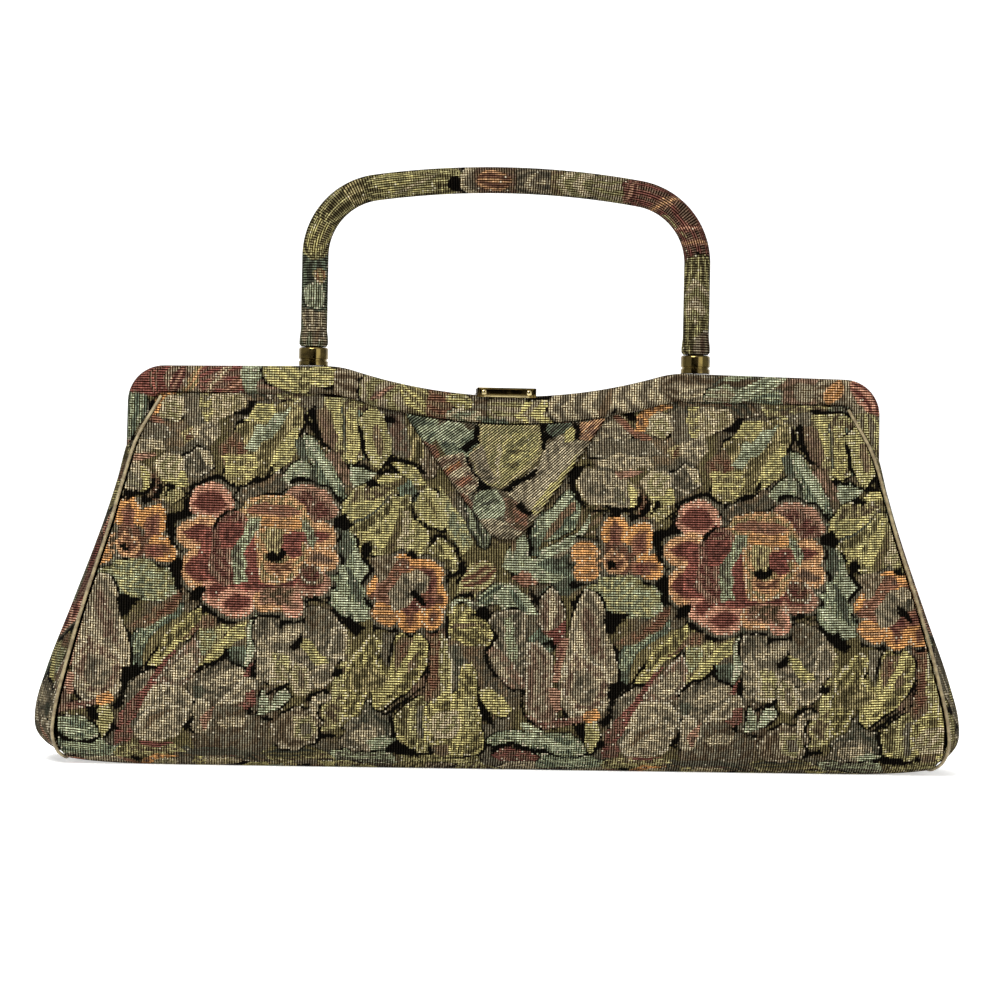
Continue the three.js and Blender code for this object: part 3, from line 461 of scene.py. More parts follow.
# Motifs of the main cloth
MOTIFS = read_chart("""
behind the flap:
umber mauve 70 none | -40 134, -36 144, -24 147, -18 140, -28 132
sage slate 100 thin | 30 132, 26 140, 32 147, 40 142, 40 134
pale taupe 20 beads | -2 138, 6 146, 16 145, 20 138, 10 134
olive dusk 50 thin | -30 124, -24 134, -14 142, -8 136, -10 124, -16 114, -22 116
gold dusk 80 thin | -6 102, -8 114, -5 128, 2 138, 7 126, 6 112, 1 100
mist teal 45 none | 2 99, 10 104, 17 112, 12 114, 5 108
sage teal 140 none | -19 110, -12 112, -8 104, -10 101, -15 106
pink rose 110 thin | 12 124, 14 132, 20 134, 21 126
pink rose 60 thin | 21 126, 22 135, 29 133, 28 126
peach rust 140 thin | 27 124, 30 122, 26 117, 22 120
pink rose 80 thin | 20 119, 19 112, 13 114, 13 121
gold rust 0 none | 17 121, 17 126, 23 127, 24 121
foot:
sage teal -20 thin | -176 13, -160 9, -150 3, -152 -5, -176 -5
mist sage -22 none | -176 8, -162 6, -152 -1, -166 1
olive dusk 10 thin | -150 3, -143 5, -132 3, -126 -6, -150 -6
umber slate 0 thin | -128 4, -112 5, -98 4, -90 -6, -126 -6
wine mauve 0 none | -109 1, -104 3, -99 0, -104 -2
olive umber 20 thin | -92 4, -80 7, -68 4, -62 -5, -88 -6
sage violet 0 thin | -66 4, -52 6, -42 4, -40 -6, -64 -6
olive dusk 60 thin | -40 4, -30 3, -20 4, -8 3, -5 -7, -38 -7
sage teal -15 thin | 16 4, 34 5, 42 0, 40 -7, 16 -7
undergrowth:
leaf -160 96 -128 112 9 0 0 umber dusk veins none
leaf -20 143 -30 112 11 0 3 taupe umber veins thin
leaf -8 143 -10 108 11 0 3 olive umber veins thin
leaf -34 143 -40 112 9 0 3 gold dusk veins thin
leaf -10 106 -6 84 7 0 2 sage slate veins thin
leaf -100 8 -88 30 8 0 0 violet umber veins none
leaf -30 20 -22 58 8 0 0 umber mauve veins none
leaf -72 12 -58 40 8 0 0 umber dusk veins none
leaf -4 16 -12 44 8 0 0 umber dusk veins none
leaf -92 2 -68 3 5 0 0 dusk slate veins none
quiet blossom:
pale taupe 0 none | 30 127, 29 136, 38 139, 46 137, 51 130, 48 127, 40 128
violet taupe 90 none | 65 140, 69 142, 72 136, 71 128, 66 127
bright taupe 90 none | 71 142, 76 142, 76 130, 72 130
pale violet 90 none | 76 142, 83 141, 80 132, 76 130
orange mauve 80 none | 51 138, 57 143, 66 142, 60 139.5, 56.5 137, 55 132, 52 130.5
pale olive 0 thin | 55.5 137, 60 140, 66 139, 67 133, 63 128.5, 56 131
rust mauve -30 none | 41 138.5, 45 137, 50 133, 57 130, 60 127, 57 126, 51 129, 46 132
umber taupe 90 none | 58 128, 66 129, 69 124, 66 119, 59 119
violet taupe 90 thin | 32 127, 45 128, 58 127.5, 61 122, 45 121.5, 33 121
pale taupe 0 none | 36 120, 45 123, 57 121, 58 117, 46 116.5, 37 117.5
gold rust 60 none | 64 124, 70 128, 69.5 122, 66 120.5
pale taupe 0 none | 69 128, 78 131, 80 124, 76 119.5, 70 121
taupe violet 90 beads | 65 115, 71 119, 76 117, 78 111, 72 108.5, 65 110
pale bright 70 none | 72 118, 76 117, 77.5 111.5, 74 113
umber rust 90 none | 52 110, 56 106, 57 97, 52 97
gold olive 0 thin | 56 102, 62 106, 66 101, 61 97, 56 98
bright olive 20 none | 55 107, 61 103.5, 68 104.5, 67 110, 60 108
pale olive 0 none | 53 112, 58 116.5, 64 116, 66.5 111, 63 107, 57 106.5
pale taupe 60 none | 28.5 112, 32 116.5, 40 116, 48 114, 53 109, 52.5 103, 48 100, 40 101, 34 101.5, 31 105
taupe violet 90 none | 32 112, 38 112, 43 107, 38 102.5, 33 105
violet olive 90 none | 44 110, 48.5 108, 47.5 102, 43 103.5
bright taupe 80 none | 49 112, 53 108, 52 102, 48 100, 50 105
salmon mauve 0 none | 43 115.5, 50 117, 54 115, 46 113
gold leaf:
pale gold 80 none | -114 132, -115 143, -103 144, -101 140, -106 135
gold dusk 55 bold | -106 125, -104 131, -96 133, -90 138, -83 142, -79 138, -79 132, -82 124, -88 113,
  -93 111, -99 109, -105 107, -109 111, -107 118
bright olive 10 none | -102 132, -97 139.5, -90 139, -89 135, -95 132
umber rust 80 none | -111 122, -104 128, -99 122, -103 113, -108 112
bright gold 0 none | -109 118, -97 120, -96 112, -104 108, -108 111
mist sage 48 none | -101 122, -96 131, -88 136, -83 139, -86 134, -97 121
bright olive 50 none | -92 115, -88 124, -82 130, -80 125, -84 117, -90 112
blade -98 111 -84 136 0.9 -1 0 dusk black plain none
umber violet 90 thin | -103 101, -103 106, -98 108, -93 109, -89 113, -84 110, -84 103, -92 103
sage mist 70 thin | -87 110, -83 116, -79 119, -76 115, -77 109, -82 107
slate teal 60 none | -83 125, -78 128, -75 120, -79 117
striped leaf:
olive umber 82 bold | -79 142, -60 143, -50 139, -52 130, -55 120, -60 116, -66 118, -71 123, -75 130
violet taupe 20 none | -80 143, -70 143, -71 138, -76 136
umber mauve 86 none | -73 138, -69 138, -65 128, -66 119, -70 123, -73 129
bright olive 80 none | -69 142, -63 141, -62 130, -64 124, -66 132
bright gold 80 none | -61 137, -58 136, -56 124, -58 117, -61 118
blade -63 140 -61 117 0.7 0 0 slate black plain none
blade -56 138 -55 119 1 0 0 teal slate plain none
grey streak:
sage teal -62 thin | -79 128, -74 127, -69 119, -64 109, -60 101, -66 99, -71 105, -76 117
mist sage -62 none | -77 126, -74 125, -70 117, -65 107, -63 101, -68 107
slate violet 90 none | -77 116, -73 110, -68 102, -73 103, -77 110
mauve umber -60 none | -70 120, -65 121, -60 113, -59 108, -63 109
mist sage -30 bold | -61 111, -60 116, -55 117, -50 114, -54 109, -58 107
looped leaf:
violet mauve 90 none | -45 137, -40 137, -37 128, -35 120, -44 120
olive bright 80 bold | -57 134, -52 138, -47 136, -44 128, -45 120, -49 115, -53 118, -55 126
umber gold 90 none | -52 132, -49 133, -47 125, -49 119, -51 121
bright olive -30 bold | -45 117, -39 119, -34 116, -30 110, -35 109, -40 114
bright olive 0 thin | -50 111, -47 114, -40 113.5, -41 109.5, -48 109.5
dusk umber 90 none | -47 109, -40 113, -35 110, -30 108, -34 104, -42 105
hanging leaf:
teal slate 90 none | -42 108, -37 112, -32 106, -32 97, -38 102
olive umber 25 thin | -63 101, -58 108, -47 110, -42 107, -47 102, -55 100
bright olive 25 none | -64 97, -59 93, -53 96, -47 101, -50 103, -62 102
olive dusk 70 bold | -43 104, -37 106, -33 102, -30 95, -28 87, -29 82, -34 79, -42 78, -48 80, -53 82,
  -56 87, -60 88, -58 92, -52 97
bright gold 45 none | -57 87, -55 90, -49 91, -50 86, -55 83
bright olive 68 none | -49 84, -47 94, -42 103, -40 103, -43 93, -46 82
dusk umber 75 none | -46 82, -43 93, -40 102, -40 92, -42 80
pale olive 85 none | -41 86, -39 100, -36 100, -35 88, -38 80
bright olive -70 none | -36 95, -32 98, -29 88, -31 82, -34 84
blade -59 91 -44 103 0.7 0 0 slate black plain none
olive sage -62 none | -25 109, -20 102, -14 94, -11 86, -15 82, -19 86, -23 96
olive bright -55 bold | -33 105, -30 109, -26 107, -21 97, -23 92, -31 96, -34 101
blade -30 106 -24 95 0.8 0 0 dusk umber plain none
olive dusk 90 bold | -28 83, -25 88.5, -22 88, -19 82, -18 76, -21 73, -26 78
bright olive 90 none | -24 87, -21 86, -20 80, -22 80
middle leaves:
olive umber 90 none | -17 74, -11 80, -7 74, -9 66, -16 64
mist violet 20 thin | -19 63, -14 65.5, -8 64, -6 60, -18 59
oval -16 71 -2 77 5 0 0 olive rust veins thin
leaf -8 64 4 70 4 0 0 sage teal veins thin
grey-green group:
sage mist 20 thin | 0 78, 3 85, 8 91, 11 88, 11 82, 14 79, 22 77, 30 76, 27 72, 14 72, 6 74
umber olive 80 none | 3 84, 4 91, 6 89, 5 82
sage teal 42 thin | 11 92, 13 99, 20 102, 25 108, 29 108, 31 100, 28 94, 22 90, 14 88
mist sage 45 none | 14 97, 20 101, 25 107, 28 106, 24 101, 18 95, 14 92
umber salmon 45 none | 15 88, 18 93, 23 100, 28 104, 29 100, 24 96, 19 91
teal slate 90 none | 11 91, 16 88, 14 82, 11 82
teal slate 5 none | 13 79, 20 82, 28 84, 34 78, 29 74, 20 76
violet pale 40 none | 15 82, 21 87, 28 89, 29 84, 22 81
mist sage 38 thin | 12 79, 16 85, 23 88, 29 92, 34 99, 33 93, 27 86, 19 81
salmon rust 90 thin | 4 73, 7 76, 11 75, 13 71.5, 8 70
slate teal 0 none | 14 68, 20 73, 29 75, 32 71, 27 67
mist sage -40 thin | -4 65, 1 70, 6 70, 11 66, 14 60, 6 59, 0 61
teal slate -40 none | 2 68, 5 69, 11 61, 8 60
flower leaf:
teal slate 55 thin | -147 35, -140 36, -135 44, -128 52, -124 62, -130 62, -139 54, -146 45
sage teal 55 none | -145 40, -141 42, -135 50, -130 58, -134 57, -142 48
umber rust 50 none | -146 51, -138 57, -128 66, -123 67, -129 58, -138 51
sage olive 5 bold | -159 72, -153 79, -138 79, -131 76, -127 70, -127 65, -133 62, -145 62, -155 66
olive sage 90 none | -154 77, -143 78, -141 72, -151 71
olive sage 0 none | -151 69, -140 71, -130 69, -133 64, -147 63
violet taupe 90 none | -160 68, -155 71, -150 66, -151 61, -158 61
yellow leaves:
dusk gold 45 none | -140 35.5, -134 44, -127 52, -121 58, -124 59, -131 53, -137 46, -140.5 40
bright dusk 45 bold | -138 36, -133 36.5, -129 42, -122 47.5, -116 54, -111 58, -116 61, -122 58, -130 50,
  -134 43
blade -110 58 -126 46 1.3 0 0 umber rust veins none
olive umber 60 thin | -119 37, -112 37.5, -107 40, -104 46, -99 54, -103 57, -110 57, -118 52, -118 44
umber rust 90 none | -119 51, -111 51.5, -109 57, -117 57
sage olive 80 none | -118 43, -115.5 41, -111.5 46, -112 51, -117 50
bright olive 50 none | -117 38, -110 38.5, -106.5 43, -99.5 50, -99.5 54, -105 51, -110 45
teal slate 0 none | -107 38.5, -106.5 44.5, -100 45.5, -97.5 41, -101 36.5
mist sage 72 beads | -101 38, -99 45, -98 56, -95 60, -93 54, -96 44, -99.5 37
first tulip:
sage teal -5 bold | -5 9, 0 13, 5 14.5, 17 12.5, 28 13, 32 9, 34 5, 30 3.5, 16 6, 5 9.5, 0 8
mist sage -10 none | 2 12, 10 13, 22 9.5, 31 8, 24 6, 12 9
mist taupe -25 none | 8 17, 12 17.5, 14 15, 19 14, 12 13
wine mauve 0 thin | -3 4, 3 7.5, 8 7, 13 5, 16 2, 14 -1, 0 -1
olive bright 85 bold | 33 15, 38 18, 40 12, 38 6, 35 5, 33 9
taupe violet 80 beads | -5 56, -2 60, 4 61, 10 60, 10 42, 8 32, 3 35, -1 41, -3 50
sage taupe 80 none | 1 58, 4 59, 7 44, 6 38, 3 44
pale taupe 75 bold | 30 64, 33 69, 38 67, 41 58, 44 48, 46 38, 45 28, 41 21, 34 18, 27 18, 24 25, 23 34,
  25 46, 27 56
taupe mauve 70 none | 31 58, 34 64, 38 58, 41 48, 42 38, 37 42, 32 48
taupe mauve 82 beads | 15 66, 19 71, 23 67, 25 58, 25 50, 22 45, 18 51, 14 56
blade 20 68 20 52 1.2 0 0 pale taupe plain none
teal slate 60 none | 11 50, 15 54, 19 49, 20 44, 14 42
taupe mauve 75 beads | 10 48, 14 49, 20 42, 21 31, 23 24, 21 17, 14 18, 10 23, 9 33
mauve taupe -45 bold | -5.5 43, -2 46, 3 42, 7 36, 10 31, 5 30.5, 0 33.5, -4 38
pale taupe -45 none | -4 42, 0 42, 5 35, 2 34.5, -2 38
pale mauve 55 beads | 24 30, 26 42, 30 45, 37 40, 42 35, 43 29, 41 23, 35 20, 29 21
taupe violet 60 none | 28 29, 29 38, 35 36, 39 30, 36 24, 31 24
wine rose 60 none | 17 53, 20 50, 22 46, 25 52, 25 57, 22 54
salmon wine 70 none | 21 43, 24 50, 26.5 50, 25 42, 23 33, 20.5 33
salmon mauve 90 none | 20 31, 24 30, 24 22, 21 21
mauve wine -5 thin | 9 22, 14 19.5, 20 18, 28 18.5, 36 20.5, 36 17.5, 28 15.5, 19 15, 13 16.5
orange peach 60 none | 33 21, 38 23, 40 19, 36 16, 33 17
second tulip:
violet umber 80 none | -121 9, -116 24, -105 26, -97 27, -93 22, -90 10, -95 3, -118 3
taupe violet 20 bold | -121 31, -119 34, -115 37, -108 38.5, -102 37, -98 33, -104 25, -112 23, -120 24
pale taupe 25 none | -115 30, -108 33, -102 37, -99 33, -104 29, -112 27.5
slate violet 90 none | -119.5 29, -116 30, -114 27, -116 24, -119 25
wine mauve 50 none | -102 33, -98 38.5, -96 36, -99 32
taupe violet 75 bold | -148 18, -147 25, -142 32, -137 34.5, -134.5 34, -137 28, -143 22
pale taupe 5 none | -111 14, -105 17.5, -99 16, -100 12.5, -108 11.5
leaf -128 3 -90 1 3 0 0 slate violet veins none
second tulip's tip:
pale taupe 40 dots | -111 21, -105 27, -100 31.5, -96 31, -95 27, -99 24.5, -104 22.5
wine mauve 45 none | -103 22, -99 26, -95.5 27, -96.5 22, -99 20
wine mauve 50 none | -150 5, -149 16, -144 23, -138 28, -135 33, -131 40, -127 43, -131 36, -134 29,
  -139 22, -143 14, -143 6
mauve taupe 55 dots | -134.5 29.5, -131 36, -126.5 42, -119.5 48, -117 42, -118 36, -121 31, -124 28,
  -130 29
pale taupe 60 none | -130 32, -127 39, -121 43, -119.5 38, -122 33, -126 31
second tulip's bulb:
pale taupe 50 dots | -135.5 28, -129 29.5, -122.5 28.5, -119.8 25, -120.5 20, -124 17, -133 19, -141 18
taupe violet 60 none | -131 26, -125 27, -122 23, -126 21
pale taupe 75 dots | -121 12, -120 20, -117.5 24.5, -113 22.5, -112 16, -115 10, -119 9.5
salmon mauve 60 none | -117 15, -114 19, -111.5 21, -113 15, -116 10.5
second tulip's foot:
olive umber 0 none | -145 5, -136 5.5, -127 6, -122 3, -130 0, -146 0
blade -140 6.2 -127 6.4 1.1 -0.8 0 wine rust plain none
pale taupe 30 dots | -142.5 10, -141 15, -136.5 19.5, -130 22, -124.5 20.5, -121.5 17, -122.5 13, -126 9,
  -132 7, -139 7
blade -139.5 12 -126 19.5 0.8 1.5 0 umber dusk plain none
blade -137 9.5 -124 14.5 0.6 -1 0 taupe umber plain none
pale daisy:
taupe violet 85 bold | -96 55, -91 58, -85 55.5, -79 59, -72 60.5, -66 57, -62 53, -60 45, -64 38, -70 33,
  -80 31, -90 31, -96 34
violet umber 90 none | -80 58, -73 60, -67 57, -67 50, -76 49.5
pale taupe 10 none | -91 49, -85 52.5, -79 51.5, -80 48, -87 46
pale violet 88 none | -96 32, -95.5 46, -92.5 50, -91 42, -92 31
violet taupe 85 none | -91 46, -88 42, -82 43, -81 47, -86 47
side petals:
pale taupe 70 dots | -68 40, -62 39, -59.5 42, -58.5 47, -61.5 52, -66 52.5, -68 47
violet taupe 90 none | -67 42, -63 42, -61 46.5, -63 50.5, -66.5 49
pale olive 5 dots | -91 42, -91.5 36, -89 30.5, -85 29.5, -82 32, -81 37, -83 41, -87 43
olive taupe 0 none | -89 41, -89 37, -85 35.5, -82.5 38, -84 41.5
pale taupe 80 thin | -74 35, -72.5 29.5, -68 28.5, -65 31.5, -65.5 36.5, -69 38.5
violet taupe 90 none | -71.5 35, -70.5 31, -67.5 31, -67 34.5, -69 36.5
bright olive -45 none | -79.5 48.5, -75 48, -71 43, -67 38, -71 38, -75 41.5, -78 45
middle petal:
pale olive 80 thin | -82.5 35, -82.5 29, -79.5 25.5, -75.5 25, -73 28, -73 33, -75.5 37, -79.5 38
umber taupe 90 none | -80 33.5, -79.5 29, -77 28, -75.5 30, -76 34, -78 35.5
foot blooms:
mist sage 75 bold | -95 17.5, -94.5 24, -92.5 28, -90.5 25.5, -90.5 19
mist sage 35 bold | -90.2 19, -89 23.5, -86.5 27, -84 28, -82 25.5, -83 22.5, -86.5 20
taupe umber 60 bold | -88.5 8, -89 14, -86 17.5, -79 20, -72 20, -69.5 14, -71 8, -77 5, -85 5
pale olive 10 none | -80 17, -73 18, -71 12, -74 8, -80 9.5
violet taupe 0 none | -77.5 14.5, -74 15, -73 11, -77 10.5
pale violet 90 thin | -74 17, -73.5 24, -71 27.5, -67 27.5, -65 24.5, -67 22, -70 23, -71 17
violet slate 20 thin | -62 13, -56 18, -52 23, -48 26, -45 19, -42 20, -42 11, -50 10
taupe violet 40 thin | -63 7, -60 13, -53 16, -46 14, -44 8, -50 5, -58 4
pale taupe 40 none | -58 9, -55 13, -49 13, -48 9, -53 7
sage mist 10 bold | -52 8, -46 11, -40 9, -43 5.5, -50 5
great leaf:
umber rust 88 none | -29 52, -23 52, -21 44, -24 32, -28 24, -32 26, -28 36, -28 44
olive dusk 80 dots | -24 51, -20 47, -19 38, -20 28, -24 26, -24 38
olive umber 90 none | -58 50, -60 37, -61 28, -62 14, -69 12, -69 21, -65 24, -64.5 32, -60.5 46
bright dusk 55 dots | -50 51, -57 44, -60.5 36, -61.5 26, -61.5 19, -63.5 13.5, -57.5 18, -53 23, -50 29,
  -48.5 40, -46 48
bright dusk 60 bold | -50 29, -49 22.5, -46 20.5, -42 24, -37 28, -31.5 34, -28.7 40, -29 45, -31 51,
  -41 51, -45 44, -49 38
gold dusk 60 none | -58 36, -50 38, -43 33, -50 27, -58 28
violet taupe 85 none | -46 51, -41 52, -41 46, -44 37, -46.5 42
umber rust 88 none | -40 48, -36 50, -36 43, -40 36, -41.5 40
umber dusk 88 none | -36 49, -33 49, -33 38, -35 35
blade -41 51 -44.5 37 0.7 0 0 black black plain none
blade -32 50 -37 36 1.2 0 0 bright gold plain none
olive dusk 90 bold | -41 17, -37 22, -31 27, -28 22, -28.5 12, -27 4, -32 3, -35.5 8, -40 10
violet slate 90 none | -32 22, -29 23, -29 11, -31 10
bright gold 60 none | -40 10.5, -36 11.5, -35 8, -38 7.5
second great leaf:
bright dusk 20 bold | -21 58, -14 63, -9 59, -4 54, -2 50, -4 46.5, -11 47, -20 48.5
blade -20 52 -6 54 0.8 1 0 umber dusk plain none
umber violet 88 none | -20 48, -6 47, -3 42, -1 35, 3 30, 5 22, -2 19, -8 28, -10 38, -18 44
violet slate 88 none | -20 46, -15 46, -13 40, -15 31, -18 29, -19 36
umber rust 0 none | -13 46, -8 46.5, -8 43, -12 42.5
bright dusk 75 dots | -29.5 22, -24 27, -20.5 33, -19.5 28, -19 18, -21 8, -29 9
bright dusk 80 bold | -19.5 28, -17 30, -15.5 39, -12 40, -10 37, -10 30, -8.5 23, -6 15, -5 8, -8 3,
  -18 2.5, -22 8, -20 18
pale olive 60 none | -28 14, -24 20, -17 21, -14 15, -18 11, -25 10.5
olive dusk 85 none | -15 25, -12 28, -9 20, -8 12, -12 14
umber violet 85 none | -26 8, -19 8, -20 3, -25 2.5
bright gold -40 thin | -9 28.5, -5 31, 2 27, 5 21, 0 18.5, -5 22
grey leaf:
sage teal -65 bold | -67 88, -60 91, -56 84, -53 76, -49 69, -48 62, -51 57, -57 55, -63 57, -68 62
slate teal 90 none | -67 91, -60 91, -59 82, -62 77, -66 80
mist sage -65 none | -58 83, -55 81, -50 70, -48.5 63, -52 63, -56 72
mist sage -20 none | -68 68, -63 66, -57 61, -50 60, -51 56, -61 56
slate teal -65 none | -62 77, -59 77, -54 66, -53 60, -57 64, -61 72
mist sage -60 none | -66 78, -63 79, -60 72, -62 69
square flower:
oval -51 65 -35 81 5.4 0 0 orange rust left halo
oval -37 74 -22 74 5.6 0 0 orange rust rim halo
oval -32 65 -20.5 65 5.6 0 0 orange rust rim halo
oval -27 63 -27 52.5 5 0 0 orange rust rim halo
oval -35.5 63 -35 51.5 5.2 0 0 orange rust rim halo
oval -50.5 59 -40 59 5.4 0 0 orange peach veins halo
taupe umber 90 none | -51 79, -44 81, -39 79, -43 73, -48 70, -50 73
rust mauve 0 none | -48 69, -44 75, -40 79.5, -35 80, -34 76, -39 73, -43 69
orange peach 50 none | -38 80, -34 80, -32 76, -36 76.5
salmon rust 0 none | -49 70, -45 72, -42 69, -43 62, -48 64
rust wine 0 none | -31 76, -26 76, -24 72, -27 62, -31 61, -37 58, -40 61, -34 66
taupe violet 90 none | -44 67, -40 73, -33 75, -28 72, -29 68, -33 66, -36 62, -42 59
pale taupe 0 none | -37 73, -31 74.5, -28 71, -34 69.5
orange flower:
oval -163 88 -153 86 5 0 0 orange peach veins halo
oval -162 80 -153 80 4.4 0 0 orange peach veins halo
oval -154 82 -147 85 4.6 0 0 peach umber veins halo
oval -147 90 -146.5 101.5 5.2 0 0 orange rust rim halo
oval -141 87 -133.5 98 5.8 0 0 orange rust rim halo
oval -140 83 -127 82 5.4 0 0 orange rust rim halo
violet rust 90 none | -151 91, -143 92, -138 88, -138 79, -143 77, -151 79
rust wine 0 none | -149 97, -144 98, -143 90, -148 90
rust wine 0 none | -140 94, -135 95, -134 88, -140 87
rust rose 0 none | -140 84, -133 85, -132 79, -139 78
peach rust 90 none | -151 84, -147 88, -143 86, -141 82, -144 78, -149 79
great rose:
oval -123 101 -105 101 7.6 0 0 pink rose rim halo
oval -127 89 -108 89 7.2 0 0 peach rose rim halo
oval -126 75 -108 75 8.6 0 0 peach rose rim halo
oval -117 66 -99 66 7 0 0 pink rose rim halo
oval -110 62 -96 62 6.6 0 0 pink rose rim halo
oval -97.5 63 -82 63 5.6 0 0 peach rose rim halo
oval -86 61 -77 61 5.6 0 0 pink salmon rim halo
oval -82 70 -67.5 70 5.6 0 0 salmon rose rim halo
oval -78 79 -64.5 79 5 0 0 peach mauve rim halo
oval -78 88 -65 88 6.2 0 0 peach rose rim halo
oval -85 104 -65 97 6.2 1 0 salmon mauve rim halo
mauve wine 90 none | -82 103, -76 106, -70 102, -66 95, -73 94, -79 98
peach gold 0 thin | -104 98, -100 102.5, -92 104, -84 103.5, -77 100, -73 94, -77 89, -90 89, -98 92
rust salmon 0 none | -101 99, -93 101, -84 100, -78 97, -84 95.5, -99 96.5
orange peach 0 none | -97 95, -88 95, -79 95, -77 92, -86 89, -94 91
rose wine 0 none | -119 82, -119 90, -113 92, -107 99, -101 97, -96 90, -76 90, -74 82, -78 74, -82 66,
  -92 65, -100 66, -110 69, -119 73
mauve wine 90 none | -114 92, -107 98, -101 97, -99 91, -104 87, -106 80, -103 70, -109 68, -114 74
rose wine 0 none | -110 93, -101 93, -101 88, -105 83, -110 83
sage violet 85 none | -99 95, -95 95, -96 88, -100 83, -100.5 76, -100 69, -104 69, -106 76, -105 83,
  -101 89
wine rose 80 none | -99 82, -96 87, -94 80, -95 71, -98 69, -100 75
peach gold 80 beads | -97 89, -93 91, -86 91, -77 86, -74 82, -77 76, -81 71, -88 68.5, -95 70, -96 80
salmon umber 0 none | -95 67, -88 68, -80 68, -81 61, -88 60, -94 61
gold umber 90 none | -93 91, -86 91, -84 87, -86 81, -91 81, -92.5 86
rose wine 0 none | -86 88, -79 90, -74 88, -78 84, -78 80, -83 78, -86 82
peach rust 0 none | -92 79, -87 77, -82 78, -83 73, -88 71.5, -92 73
sage violet 90 none | -79 95, -75 93.5, -72 88, -73 82, -75 84, -77 90
umber wine 90 beads | -80 73, -77 77, -72 76, -69 72, -71 69, -78 69.5
""")

